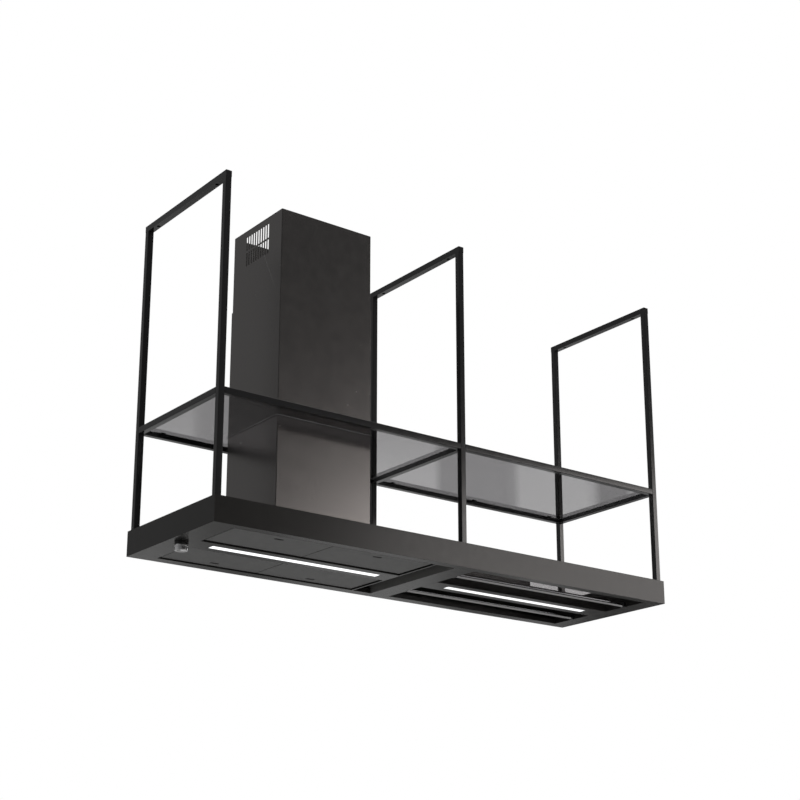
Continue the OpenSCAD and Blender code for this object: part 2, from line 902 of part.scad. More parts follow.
// Double-inlet impeller with forward blades between two rings and a middle disc
module impeller() {
    r = impeller_d / 2;
    half = impeller_l / 2;
    blade_r = r - blade_depth / 2;
    blade_l = blade_depth - 2;
    blade_angle = 35;
    color("#3c4146") in_place() translate([chimney_x, chimney_y, casing_z]) rotate([0, 90, 0]) difference() {
        union() {
            for (z = [-half, half - ring_t])
                translate([0, 0, z]) difference() {
                    cylinder(r = r, h = ring_t);
                    translate([0, 0, -over]) cylinder(r = r - blade_depth, h = ring_t + 2 * over);
                }
            translate([0, 0, hub_shift - ring_t / 2]) cylinder(r = r - 1, h = ring_t);
            translate([0, 0, hub_shift - hub_l / 2]) cylinder(d = hub_d, h = hub_l);
            for (i = [0:blade_count - 1])
                rotate([0, 0, i * 360 / blade_count]) translate([blade_r, 0, -half + ring_t / 2])
                    rotate([0, 0, blade_angle]) translate([-blade_l / 2, -blade_t / 2, 0])
                        cube([blade_l, blade_t, impeller_l - ring_t]);
        }
        translate([0, 0, hub_shift - hub_l / 2 - over]) cylinder(d = shaft_d, h = hub_l + 2 * over);
    }
}

module motor_shaft() {
    end_l = 3;
    reach = 18;
    color("silver") in_place()
        translate([chimney_x + hub_shift - hub_l / 2 - end_l, chimney_y, casing_z]) rotate([0, 90, 0])
            cylinder(d = shaft_d, h = end_l + hub_l + motor_gap + reach);
}

// Motor inside the impeller's right half, on three arms that reach the casing
module motor() {
    arm_w = 14;
    arm_t = 3;
    arm_root = 3;
    arm_lap = 10;
    arm_x = chimney_x + casing_w / 2;
    arm_l = inlet_hole_d / 2 - motor_d / 2 + arm_root + arm_lap;
    bore_l = 20;
    color("#6d7175") in_place() translate([0, chimney_y, casing_z]) difference() {
        union() {
            translate([motor_front, 0, 0]) rotate([0, 90, 0]) cylinder(d = motor_d, h = motor_l);
            for (a = [90, 210, 330])
                translate([arm_x, 0, 0]) rotate([a, 0, 0])
                    translate([0, -arm_w / 2, motor_d / 2 - arm_root]) cube([arm_t, arm_w, arm_l]);
        }
        translate([motor_front - over, 0, 0]) rotate([0, 90, 0])
            cylinder(r = shaft_d / 2 + pin_clearance, h = bore_l + over);
    }
}

// Round outlet on a square plate, with the pin that both flaps turn on
module outlet_spigot() {
    plate_t = 1.5;
    color("#8f9396") in_place() translate([chimney_x, chimney_y, casing_top]) {
        difference() {
            union() {
                translate([-casing_w / 2, -outlet_w / 2, 0]) cube([casing_w, outlet_w, plate_t]);
                cylinder(d = spigot_d, h = spigot_h, $fn = 96);
            }
            translate([0, 0, -over])
                cylinder(d = spigot_d - 2 * spigot_wall, h = spigot_h + 2 * over, $fn = 96);
        }
        translate([0, -spigot_d / 2 + spigot_wall / 2, flap_z - casing_top]) rotate([-90, 0, 0])
            cylinder(d = flap_pin_d, h = spigot_d - spigot_wall);
    }
}

// Half-round non-return flap towards +X, with knuckles at alternate places along the pin
module flap(first) {
    r = spigot_d / 2 - spigot_wall - flap_edge_gap;
    root = knuckle_d / 2 + 0.5;
    span = knuckle_l + knuckle_gap;
    difference() {
        union() {
            intersection() {
                translate([0, 0, -flap_t / 2]) cylinder(r = r, h = flap_t);
                translate([root, -r, -flap_t]) cube([r, 2 * r, 2 * flap_t]);
            }
            for (i = [-2 + first:2:1 + first])
                translate([0, i * span - knuckle_l / 2, 0]) {
                    rotate([-90, 0, 0]) cylinder(d = knuckle_d, h = knuckle_l);
                    translate([0, 0, -flap_t / 2]) cube([root + 1, knuckle_l, flap_t]);
                }
        }
        translate([0, -r - over, 0]) rotate([-90, 0, 0])
            cylinder(r = flap_pin_d / 2 + pin_clearance, h = 2 * (r + over));
    }
}

module left_flap() {
    color("#d8d8d4") in_place() translate([chimney_x, chimney_y, flap_z]) mirror([1, 0, 0]) flap(0);
}

module right_flap() {
    color("#d8d8d4") in_place() translate([chimney_x, chimney_y, flap_z]) flap(1);
}

// Lid that closes the blower chamber around the spigot
module chamber_lid() {
    w = chimney_w - 2 * sleeve_sheet - 2 * lid_gap;
    d = chimney_d - 2 * sleeve_sheet - 2 * lid_gap;
    color("#b9bcbe") in_place() translate([chimney_x, chimney_y, lid_z]) difference() {
        translate([-w / 2, -d / 2, 0]) cube([w, d, lid_t]);
        translate([0, 0, -over]) cylinder(d = spigot_d + 2 * lid_gap, h = lid_t + 2 * over);
        translate([gland_x - chimney_x, 0, -over]) cylinder(d = gland_d, h = lid_t + 2 * over);
    }
}

// Rectangular sleeve around the chimney's axis
module sleeve(w, d, z0, z1) {
    translate([chimney_x - w / 2, chimney_y - d / 2, z0]) difference() {
        cube([w, d, z1 - z0]);
        translate([sleeve_sheet, sleeve_sheet, -over])
            cube([w - 2 * sleeve_sheet, d - 2 * sleeve_sheet, z1 - z0 + 2 * over]);
    }
}

module chimney_lower() {
    color("#4a4745") in_place() sleeve(chimney_w, chimney_d, tray_h, lower_sleeve_z);
}

// Upper sleeve with two rows of vent slots on its left and right faces
module chimney_upper() {
    first_y = chimney_y - (slot_count - 1) * slot_pitch / 2 - slot_w / 2;
    row_step = slot_h + slot_web;
    color("#454341") in_place() difference() {
        sleeve(upper_w, upper_d, upper_z0, upper_z1);
        for (row = [0:slot_rows - 1], i = [0:slot_count - 1])
            translate([chimney_x - upper_w, first_y + i * slot_pitch, slot_top - slot_h - row * row_step])
                cube([2 * upper_w, slot_w, slot_h]);
    }
}

left_posts();
middle_posts();
right_posts();
left_top_rail();
middle_top_rail();
right_top_rail();
left_shelf_rail();
middle_shelf_rail();
right_shelf_rail();
front_shelf_rails();
back_shelf_rails();
shelf_glass_left();
shelf_glass_centre();
shelf_glass_right();
glass_tabs();
glass_pads();
front_skirt();
back_skirt();
left_end_box();
middle_box();
right_end_box();
hood_top_plate();
hood_fascia();
front_left_panel();
front_right_panel();
back_left_panel();
back_right_panel();
panel_hinges();
front_filters();
back_filters();
hood_light_channel();
hood_led_strip();
hood_light_lens();
bay_light_beam();
bay_light_channel();
bay_led_strip();
bay_light_lens();
deck_plate();
deck_glass();
service_box();
led_driver();
front_hanging_rod();
back_hanging_rod();
rod_sockets();
knob_collar();
control_knob();
control_board();
cable_gland();
blower_casing();
impeller();
motor_shaft();
motor();
outlet_spigot();
left_flap();
right_flap();
chamber_lid();
chimney_lower();
chimney_upper();
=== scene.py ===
# %% [markdown]
# # An island range hood, from frame to finish
# The hood hangs from the ceiling on three portals of square tube. A slim tray hangs between them with
# the suction panels and the lights, glass lies on a shelf frame half way up, and a telescopic chimney
# rises over the blower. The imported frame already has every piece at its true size. This lesson gives
# each one the softened edges, fittings and finish that the real hood has.

# %% Load the frame
import json
from math import asin, degrees, pi, radians, sin

import bmesh
import bpy
from mathutils import Matrix, Vector

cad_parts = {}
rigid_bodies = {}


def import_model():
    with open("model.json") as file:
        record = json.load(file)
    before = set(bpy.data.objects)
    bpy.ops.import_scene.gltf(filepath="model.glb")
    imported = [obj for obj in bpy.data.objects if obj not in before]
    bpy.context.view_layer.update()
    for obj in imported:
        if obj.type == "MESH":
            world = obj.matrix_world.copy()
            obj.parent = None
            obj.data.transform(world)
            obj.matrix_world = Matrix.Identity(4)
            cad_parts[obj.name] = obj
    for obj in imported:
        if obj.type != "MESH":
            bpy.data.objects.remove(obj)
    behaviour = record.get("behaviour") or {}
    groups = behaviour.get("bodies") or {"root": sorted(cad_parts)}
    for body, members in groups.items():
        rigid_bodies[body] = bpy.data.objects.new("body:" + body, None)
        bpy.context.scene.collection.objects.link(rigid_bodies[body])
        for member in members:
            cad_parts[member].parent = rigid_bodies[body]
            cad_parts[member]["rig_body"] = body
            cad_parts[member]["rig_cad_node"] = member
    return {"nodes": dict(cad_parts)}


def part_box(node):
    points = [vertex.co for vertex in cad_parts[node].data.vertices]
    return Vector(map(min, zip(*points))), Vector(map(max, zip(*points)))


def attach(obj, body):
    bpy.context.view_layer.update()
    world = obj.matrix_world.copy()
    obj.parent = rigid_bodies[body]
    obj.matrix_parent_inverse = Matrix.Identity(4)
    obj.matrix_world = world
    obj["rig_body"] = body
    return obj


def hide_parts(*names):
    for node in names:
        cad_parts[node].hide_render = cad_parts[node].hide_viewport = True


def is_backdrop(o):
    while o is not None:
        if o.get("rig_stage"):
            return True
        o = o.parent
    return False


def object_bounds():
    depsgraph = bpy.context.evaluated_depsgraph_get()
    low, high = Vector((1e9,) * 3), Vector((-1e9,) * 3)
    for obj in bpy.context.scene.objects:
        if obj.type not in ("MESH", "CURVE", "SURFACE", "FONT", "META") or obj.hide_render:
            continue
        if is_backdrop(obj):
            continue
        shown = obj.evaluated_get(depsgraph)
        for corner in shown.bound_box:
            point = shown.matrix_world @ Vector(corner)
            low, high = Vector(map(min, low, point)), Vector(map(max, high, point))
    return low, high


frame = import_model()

cad_low, cad_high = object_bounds()
print("hood", [round(v, 3) for v in cad_high - cad_low], "m, nodes", len(frame["nodes"]))

# %% [markdown]
# ## The camera
# The hood is seen from low down, in front of its left end, as by someone who stands near the island
# and looks up. A lens of about 73 mm keeps the long tray from stretching. A small upward shift does
# what the tilt of a shift lens does: the posts stay almost upright.

# %% Camera
camera_data = bpy.data.cameras.new("view")
camera_data.lens = 72.6
camera_data.sensor_width = 36
camera_data.shift_y = 0.1
camera_data.clip_end = 60
camera = bpy.data.objects.new("view", camera_data)
bpy.context.scene.collection.objects.link(camera)
camera.location = (-3.120, -4.059, -2.289)
looking = Vector((0.5779, 0.7639, 0.2871))
camera.rotation_euler = looking.to_track_quat("-Z", "Y").to_euler()
bpy.context.scene.camera = camera
bpy.context.scene.view_settings.view_transform = "Standard"
print("camera looks up by", round(degrees(asin(looking.normalized().z)), 1), "degrees")

# %% [markdown]
# ## Small helpers for nodes
# A shader tree is a graph, so building one in code is a matter of adding nodes and wiring sockets.
# These helpers keep each later cell down to what matters: which node, which values, what feeds it.

# %% Node helpers
def add(tree, kind, **settings):
    """Adds a node and sets its plain settings."""
    node = tree.nodes.new("ShaderNode" + kind)
    for key, value in settings.items():
        setattr(node, key, value)
    return node


def wire(tree, source, target):
    tree.links.new(source, target)


def maths(tree, operation, first, second=None, clamp=False):
    """A Math node whose inputs are sockets or numbers. Gives its output."""
    node = add(tree, "Math", operation=operation, use_clamp=clamp)
    for socket, value in zip(node.inputs, (first, second)):
        if isinstance(value, bpy.types.NodeSocket):
            wire(tree, value, socket)
        elif value is not None:
            socket.default_value = value
    return node.outputs[0]


def noise(tree, vector, scale, detail=2.0, roughness=0.5):
    """A noise texture on the given coordinates. Gives its value."""
    node = add(tree, "TexNoise")
    node.inputs["Detail"].default_value = detail
    node.inputs["Roughness"].default_value = roughness
    wire(tree, vector, node.inputs["Vector"])
    if isinstance(scale, bpy.types.NodeSocket):
        wire(tree, scale, node.inputs["Scale"])
    else:
        node.inputs["Scale"].default_value = scale
    return node.outputs["Fac"]


def spread(tree, value, low, high, to_low=0.0, to_high=1.0):
    """Maps a value from one range to another, and stops at its ends."""
    node = add(tree, "MapRange")
    wire(tree, value, node.inputs["Value"])
    for label, number in (("From Min", low), ("From Max", high), ("To Min", to_low), ("To Max", to_high)):
        if isinstance(number, bpy.types.NodeSocket):
            wire(tree, number, node.inputs[label])
        else:
            node.inputs[label].default_value = number
    return node.outputs["Result"]


def mixed(tree, share, first, second):
    """Mixes two colours, each a socket or four numbers, by a share."""
    node = add(tree, "Mix", data_type="RGBA")
    for socket, value in zip((node.inputs[0], node.inputs[6], node.inputs[7]), (share, first, second)):
        if isinstance(value, bpy.types.NodeSocket):
            wire(tree, value, socket)
        else:
            socket.default_value = value
    return node.outputs[2]


def new_group(name, inputs, outputs):
    """A shader node group with named sockets. Gives the group, its input node and its output node."""
    group = bpy.data.node_groups.new(name, "ShaderNodeTree")
    for label, kind, value in inputs:
        socket = group.interface.new_socket(name=label, in_out="INPUT", socket_type="NodeSocket" + kind)
        socket.default_value = value
    for label, kind in outputs:
        group.interface.new_socket(name=label, in_out="OUTPUT", socket_type="NodeSocket" + kind)
    return group, group.nodes.new("NodeGroupInput"), group.nodes.new("NodeGroupOutput")


def place_group(tree, group, **values):
    """Puts a group into a tree with its own input values."""
    node = add(tree, "Group", node_tree=group)
    for label, value in values.items():
        socket = node.inputs[label.replace("_", " ")]
        if isinstance(value, bpy.types.NodeSocket):
            wire(tree, value, socket)
        else:
            socket.default_value = value
    return node


def new_material(name):
    """A material with nodes. Gives the material, its tree and its Principled shader."""
    material = bpy.data.materials.new(name)
    material.use_nodes = True
    return material, material.node_tree, material.node_tree.nodes["Principled BSDF"]


def raise_surface(tree, shader, height, strength, distance):
    """Feeds a height into the shader's normal through a Bump node."""
    rise = add(tree, "Bump")
    rise.inputs["Strength"].default_value = strength
    rise.inputs["Distance"].default_value = distance
    wire(tree, height, rise.inputs["Height"])
    wire(tree, rise.outputs[0], shader.inputs["Normal"])


def lay_over(material, mask, colour):
    """Lays a colour over the one that a material has, where the mask is."""
    base = material.node_tree.nodes["Principled BSDF"].inputs["Base Color"]
    wire(material.node_tree, mixed(material.node_tree, mask, base.links[0].from_socket, (*colour, 1)), base)


print("node helpers ready")

# %% [markdown]
# ## The room: a white studio with soft light
# A black object is shown on a white ground. A world that is simply white would wash the black coat out
# with reflections, so Light Path splits it: the eye, and light that comes straight through glass, see
# white, while every reflecting or scattering ray sees a calm grey room. Low behind the hood that room
# has a few broad upright bands, like strip lights and flags in a studio, and they show as pale and
# darker stripes in the underside of the glass. The tray hangs lower than the glass, so it mirrors a
# shallower part of the room: there a dark flag holds the light back, most of all at the right end.

# %% World
ROOM_FRONT, ROOM_BACK = 0.13, 0.29
BAND_EDGES = [44.4, 45.7, 48.6, 51.5, 57.0, 60.5]  # degrees from +X towards +Y
BAND_LEVELS = [0.78, 0.10, 0.78, 0.24, 0.80, 0.26, 0.80]
BAND_SOFTNESS = 0.15
BAND_SPAN = (20.0, 95.0)
FLAG_RISE = (15.2, 13.8)  # degrees below the horizon, from no flag to the whole flag
FLAG_TURN = (48.0, 46.4)  # degrees from +X, from a part of the flag to all of it
FLAG_PART = 0.42
FLAG_LEVEL = 0.004


def grey(level):
    return (level, level, level, 1)


def band_points():
    """Places along the span and their levels, with a short blend at each edge."""
    points = [(0.0, BAND_LEVELS[0])]
    for edge, before, after in zip(BAND_EDGES, BAND_LEVELS, BAND_LEVELS[1:]):
        for side, level in ((-1, before), (1, after)):
            place = (edge + side * BAND_SOFTNESS - BAND_SPAN[0]) / (BAND_SPAN[1] - BAND_SPAN[0])
            points.append((place, level))
    return points


def make_world():
    world = bpy.data.worlds.new("studio")
    bpy.context.scene.world = world
    world.use_nodes = True
    tree = world.node_tree
    tree.nodes.clear()
    direction = add(tree, "TexCoord").outputs["Generated"]
    parts = add(tree, "SeparateXYZ")
    wire(tree, direction, parts.inputs[0])
    azimuth = maths(tree, "ARCTAN2", parts.outputs["Y"], parts.outputs["X"])
    across = spread(tree, azimuth, radians(BAND_SPAN[0]), radians(BAND_SPAN[1]))
    ramp = add(tree, "ValToRGB")
    points = ramp.color_ramp.elements
    levels = band_points()
    while len(points) < len(levels):
        points.new(0.5)
    for point, (position, level) in zip(points, levels):
        point.position = position
        point.color = grey(level)
    wire(tree, across, ramp.inputs[0])
    low = spread(tree, parts.outputs["Z"], 0.02, -0.06)
    behind = spread(tree, parts.outputs["Y"], 0.0, 0.15)
    depth = spread(tree, parts.outputs["Y"], -0.5, 0.3)
    calm = mixed(tree, depth, grey(ROOM_FRONT), grey(ROOM_BACK))
    shallow = spread(tree, parts.outputs["Z"], *(-sin(radians(angle)) for angle in FLAG_RISE))
    corner = spread(tree, azimuth, *(radians(angle) for angle in FLAG_TURN), FLAG_PART, 1.0)
    flag = maths(tree, "MULTIPLY", shallow, corner)
    flagged = mixed(tree, flag, ramp.outputs[0], grey(FLAG_LEVEL))
    room = mixed(tree, maths(tree, "MULTIPLY", low, behind), calm, flagged)
    light = add(tree, "LightPath")
    seen = maths(tree, "MAXIMUM", light.outputs["Is Camera Ray"], light.outputs["Is Transmission Ray"])
    shown = mixed(tree, seen, room, grey(1.0))
    background = add(tree, "Background")
    wire(tree, shown, background.inputs["Color"])
    output = add(tree, "OutputWorld")
    wire(tree, background.outputs[0], output.inputs["Surface"])
    return world


print("world", make_world().name, "with", len(BAND_EDGES) + 1, "bands behind")

# %% [markdown]
# ## Studio lights
# One large soft light stands at the front right, a little higher than the hood. The satin front faces
# turn it into the slow gradient from near black at the left to warm grey at the right end of the tray.
# A broad light above gives the tops of the rails and the tray their shape.

# %% Lights
def soft_light(name, place, aim, size, power, colour):
    """An area light at a place, turned towards a point."""
    data = bpy.data.lights.new(name, "AREA")
    data.shape = "RECTANGLE"
    data.size, data.size_y = size
    data.energy = power
    data.color = colour
    light = bpy.data.objects.new(name, data)
    bpy.context.scene.collection.objects.link(light)
    light.location = place
    light.rotation_euler = (Vector(aim) - Vector(place)).to_track_quat("-Z", "Y").to_euler()
    light.visible_camera = False
    light.visible_transmission = False
    return light


centre = (cad_low + cad_high) / 2
soft_light("key", (6.9, -6.0, 0.25), (0.1, 0, -0.9), (5.2, 3.0), 235, (1.0, 0.955, 0.93))
soft_light("top", (0.5, -1.2, 3.2), centre, (4.0, 3.0), 60, (1.0, 0.99, 0.97))

# %% [markdown]
# ## The floor
# The ceiling is 2.7 m above a plain pale floor. From below the floor must not block the view, so its
# back face lets everything through, and its rim fades out so that no hard horizon cuts the ground.

# %% Floor
FLOOR_Z = -2.7
FLOOR_SIZE = 14


def make_floor():
    bpy.ops.object.select_all(action="DESELECT")
    bpy.ops.mesh.primitive_plane_add(size=FLOOR_SIZE, location=(0, 0, FLOOR_Z))
    floor = bpy.context.object
    floor.name = "floor"
    material, tree, shader = new_material("pale_floor")
    place = add(tree, "TexCoord").outputs["Object"]
    cloud = noise(tree, place, 0.8)
    wire(tree, mixed(tree, cloud, (0.74, 0.74, 0.73, 1), (0.80, 0.80, 0.79, 1)), shader.inputs["Base Color"])
    shader.inputs["Roughness"].default_value = 0.8
    glow = add(tree, "Emission")
    glow.inputs["Color"].default_value = (0.90, 0.90, 0.895, 1)
    seen = add(tree, "MixShader")
    wire(tree, add(tree, "LightPath").outputs["Is Camera Ray"], seen.inputs[0])
    wire(tree, shader.outputs[0], seen.inputs[1])
    blend = add(tree, "MixShader")
    blend.inputs[0].default_value = 0.72
    wire(tree, shader.outputs[0], blend.inputs[1])
    wire(tree, glow.outputs[0], blend.inputs[2])
    wire(tree, blend.outputs[0], seen.inputs[2])
    distance = add(tree, "VectorMath", operation="LENGTH")
    wire(tree, place, distance.inputs[0])
    rim = spread(tree, distance.outputs["Value"], FLOOR_SIZE * 0.28, FLOOR_SIZE * 0.48)
    back = add(tree, "NewGeometry").outputs["Backfacing"]
    gone = add(tree, "MixShader")
    wire(tree, maths(tree, "MAXIMUM", rim, back), gone.inputs[0])
    wire(tree, seen.outputs[0], gone.inputs[1])
    wire(tree, add(tree, "BsdfTransparent").outputs[0], gone.inputs[2])
    wire(tree, gone.outputs[0], tree.nodes["Material Output"].inputs["Surface"])
    floor.data.materials.append(material)
    floor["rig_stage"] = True
    return floor


print("floor", make_floor().dimensions[:2])

# %% [markdown]
# ## Shared effects: powder coat, painted edge highlights, dust
# Most of the hood is steel with a satin powder coat. Up close such a coat is not smooth: it has a fine
# orange peel of about a millimetre and slow clouds in its depth of colour. Its rounded edges get a
# painted highlight, a touch lighter in colour and glossier. One group makes the peel and the clouds,
# one the edge mask for that painted highlight, one the dust that settles on faces that look up. Each
# is built once and used by all coats.

# %% Coat, edge and dust groups
def make_coat_group():
    group, start, end = new_group(
        "coat_grain",
        [("Color", "Color", (0.03, 0.03, 0.03, 1)), ("Clouds", "Float", 0.15), ("Peel Scale", "Float", 900.0),
         ("Roughness", "Float", 0.42), ("Roughness Spread", "Float", 0.06)],
        [("Color", "Color"), ("Roughness", "Float"), ("Height", "Float")],
    )
    place = add(group, "TexCoord").outputs["Object"]
    cloud = noise(group, place, 7.0, detail=3.0)
    shift = maths(group, "MULTIPLY", maths(group, "SUBTRACT", cloud, 0.5), start.outputs["Clouds"])
    brightness = maths(group, "ADD", shift, 1.0)
    tint = add(group, "VectorMath", operation="SCALE")
    wire(group, start.outputs["Color"], tint.inputs[0])
    wire(group, brightness, tint.inputs["Scale"])
    wire(group, tint.outputs[0], end.inputs["Color"])
    patch = maths(group, "SUBTRACT", noise(group, place, 38.0, detail=4.0), 0.5)
    rough = maths(group, "MULTIPLY", patch, start.outputs["Roughness Spread"])
    wire(group, maths(group, "ADD", rough, start.outputs["Roughness"], clamp=True), end.inputs["Roughness"])
    wire(group, noise(group, place, start.outputs["Peel Scale"], detail=1.0), end.inputs["Height"])
    return group


# The edge mask: the faces that rounding made, broken up by noise. Coats and metals lay a painted highlight
# over them, the glass a painted darker edge.
def make_edge_group():
    group, start, end = new_group("painted_edge_light", [("Strength", "Float", 0.5)], [("Mask", "Float")])
    edge = add(group, "Attribute", attribute_name="edge")
    place = add(group, "TexCoord").outputs["Object"]
    broken = spread(group, noise(group, place, 55.0, detail=4.0), 0.38, 0.62, 0.45, 1.0)
    mask = maths(group, "MULTIPLY", edge.outputs["Fac"], broken)
    wire(group, maths(group, "MULTIPLY", mask, start.outputs["Strength"], clamp=True), end.inputs["Mask"])
    return group


def make_dust_group():
    group, start, end = new_group("settled_dust", [("Amount", "Float", 0.2)], [("Mask", "Float")])
    coordinates = add(group, "TexCoord")
    parts = add(group, "SeparateXYZ")
    wire(group, coordinates.outputs["Normal"], parts.inputs[0])
    upward = spread(group, parts.outputs["Z"], 0.6, 0.98)
    patches = noise(group, coordinates.outputs["Object"], 9.0, roughness=0.4)
    drift = spread(group, patches, 0.25, 0.8)
    mask = maths(group, "MULTIPLY", upward, drift)
    wire(group, maths(group, "MULTIPLY", mask, start.outputs["Amount"], clamp=True), end.inputs["Mask"])
    return group


coat_group, edge_group, dust_group = make_coat_group(), make_edge_group(), make_dust_group()
print("groups", [g.name for g in bpy.data.node_groups])

# %% [markdown]
# ## The powder coats
# The coats differ in depth and gloss. The tubes and the tray are the blackest, the suction panels are
# paler, and the primer on the inner sheets is the palest. The coat of the sleeves is full of metal
# flakes, so it counts as metal. A coat is a function of its colour and roughness, and the groups above
# do the rest. The bump comes last, from the peel.

# %% Powder coats
DUST = (0.30, 0.29, 0.27, 1)


def powder_coat(name, colour, roughness, clouds=0.10, peel=900.0, bump=0.025, edge_highlight=0.35, dust=0.10,
                metal=0.0, ior=1.5):
    material, tree, shader = new_material(name)
    coat = place_group(tree, coat_group, Color=(*colour, 1), Clouds=clouds, Peel_Scale=peel,
                       Roughness=roughness, Roughness_Spread=0.10)
    edge_light = place_group(tree, edge_group, Strength=edge_highlight)
    film = place_group(tree, dust_group, Amount=dust)
    # Painted highlight: the rounded edges get a much paler colour, and a little more gloss.
    pale = tuple(min(1.0, c * 2.6 + 0.02) for c in colour) + (1,)
    colour_out = mixed(tree, edge_light.outputs["Mask"], coat.outputs["Color"], pale)
    colour_out = mixed(tree, film.outputs["Mask"], colour_out, DUST)
    wire(tree, colour_out, shader.inputs["Base Color"])
    gloss = maths(tree, "MULTIPLY", edge_light.outputs["Mask"], 0.12)
    rough = maths(tree, "SUBTRACT", coat.outputs["Roughness"], gloss)
    rough = maths(tree, "ADD", rough, maths(tree, "MULTIPLY", film.outputs["Mask"], 0.5), clamp=True)
    wire(tree, rough, shader.inputs["Roughness"])
    raise_surface(tree, shader, coat.outputs["Height"], bump, 0.0003)
    shader.inputs["IOR"].default_value = ior
    shader.inputs["Metallic"].default_value = metal
    return material


TRAY_COAT = {"colour": (0.026, 0.025, 0.024), "roughness": 0.20, "clouds": 0.05, "bump": 0.006, "ior": 1.3}
frame_black = powder_coat("frame_black_coat", (0.020, 0.020, 0.021), 0.17, bump=0.008, ior=1.4)
tray_black = powder_coat("tray_black_coat", **TRAY_COAT)
panel_black = powder_coat("panel_black_coat", (0.125, 0.125, 0.126), 0.42, clouds=0.03)
inner_grey = powder_coat("inner_grey_coat", (0.16, 0.158, 0.155), 0.5)
sleeve_black = powder_coat("sleeve_black_coat", (0.150, 0.143, 0.140), 0.25, clouds=0.02, bump=0.006,
                           metal=1.0)
print("coats", frame_black.name, tray_black.name, panel_black.name, sleeve_black.name)

# %% [markdown]
# ## Bare metals
# Rolled and extruded aluminium carries fine lines from the mill, and the hanging rods are polished to a
# mirror with only the faintest draw lines. Both come from one group that stretches a noise along one
# direction, so that it turns into lines. Zinc-coated sheet has a pattern of crystals instead, and the
# cells of a Voronoi texture, each with its own grey, look like them.

# %% Metals
def make_line_group():
    group, start, end = new_group(
        "drawn_lines",
        [("Stretch", "Vector", (4.0, 400.0, 400.0)), ("Depth", "Float", 0.1)],
        [("Value", "Float"), ("Height", "Float")],
    )
    place = add(group, "TexCoord").outputs["Object"]
    pulled = add(group, "VectorMath", operation="MULTIPLY")
    wire(group, place, pulled.inputs[0])
    wire(group, start.outputs["Stretch"], pulled.inputs[1])
    lines = noise(group, pulled.outputs[0], 1.0, detail=3.0)
    wire(group, maths(group, "MULTIPLY", maths(group, "SUBTRACT", lines, 0.5), start.outputs["Depth"]),
         end.inputs["Value"])
    wire(group, lines, end.inputs["Height"])
    return group


line_group = make_line_group()


def drawn_metal(name, colour, roughness, stretch, depth=0.25, bump=0.08, edge_highlight=0.3):
    material, tree, shader = new_material(name)
    shader.inputs["Metallic"].default_value = 1.0
    lines = place_group(tree, line_group, Stretch=stretch, Depth=depth)
    edge_light = place_group(tree, edge_group, Strength=edge_highlight)
    share = maths(tree, "ADD", lines.outputs["Value"], 0.5, clamp=True)
    dark = tuple(c * 0.78 for c in colour) + (1,)
    body = mixed(tree, share, dark, (*colour, 1))
    # Painted highlight: the rounded edges get a brighter colour.
    bright = tuple(min(1.0, c * 1.2) for c in colour) + (1,)
    wire(tree, mixed(tree, edge_light.outputs["Mask"], body, bright), shader.inputs["Base Color"])
    wire(tree, maths(tree, "ADD", lines.outputs["Value"], roughness, clamp=True), shader.inputs["Roughness"])
    raise_surface(tree, shader, lines.outputs["Height"], bump, 0.0002)
    return material


def zinc_sheet():
    material, tree, shader = new_material("zinc_sheet")
    shader.inputs["Metallic"].default_value = 1.0
    place = add(tree, "TexCoord").outputs["Object"]
    crystals = add(tree, "TexVoronoi")
    crystals.inputs["Scale"].default_value = 120.0
    wire(tree, place, crystals.inputs["Vector"])
    parts = add(tree, "SeparateColor")
    wire(tree, crystals.outputs["Color"], parts.inputs[0])
    body = mixed(tree, parts.outputs[0], (0.40, 0.41, 0.42, 1), (0.62, 0.63, 0.64, 1))
    edge_light = place_group(tree, edge_group, Strength=0.3)
    # Painted highlight: the rounded edges get a pale grey.
    wire(tree, mixed(tree, edge_light.outputs["Mask"], body, (0.75, 0.75, 0.75, 1)), shader.inputs["Base Color"])
    wire(tree, spread(tree, parts.outputs[1], 0.0, 1.0, 0.30, 0.48), shader.inputs["Roughness"])
    raise_surface(tree, shader, noise(tree, place, 260.0), 0.05, 0.0002)
    return material


zinc = zinc_sheet()
rod_steel = drawn_metal("rod_steel", (0.52, 0.52, 0.53), 0.12, (3.0, 900.0, 900.0), depth=0.04, bump=0.0)
filter_alu = drawn_metal("filter_alu", (0.72, 0.73, 0.74), 0.34, (8.0, 700.0, 700.0))
channel_alu = drawn_metal("channel_alu", (0.76, 0.77, 0.78), 0.28, (5.0, 800.0, 800.0))
screw_steel = drawn_metal("screw_steel", (0.55, 0.55, 0.56), 0.30, (300.0, 300.0, 60.0), depth=0.15)
print("metals", zinc.name, rod_steel.name, filter_alu.name, channel_alu.name, screw_steel.name)

# %% [markdown]
# ## Glass
# The shelf is toughened glass with a grey body tint. Its colour belongs to the depth of the glass, so
# the shader is a plain transmitting one, with a smooth surface and no metal in it. Faint smears vary
# its gloss, and the polished edges look darker because the eye looks through far more glass there.

# %% Glass
def smoked_glass(name, tint, deep):
    material, tree, shader = new_material(name)
    shader.inputs["Transmission Weight"].default_value = 1.0
    shader.inputs["IOR"].default_value = 1.5
    place = add(tree, "TexCoord").outputs["Object"]
    edge_light = place_group(tree, edge_group, Strength=0.9)
    streak = spread(tree, noise(tree, place, 3.0), 0.3, 0.7)
    body = mixed(tree, streak, tuple(c * 0.97 for c in tint) + (1,), (*tint, 1))
    wire(tree, mixed(tree, edge_light.outputs["Mask"], body, (*deep, 1)), shader.inputs["Base Color"])
    smear = spread(tree, noise(tree, place, 25.0, detail=4.0), 0.45, 0.75, 0.0, 0.03)
    wire(tree, smear, shader.inputs["Roughness"])
    return material


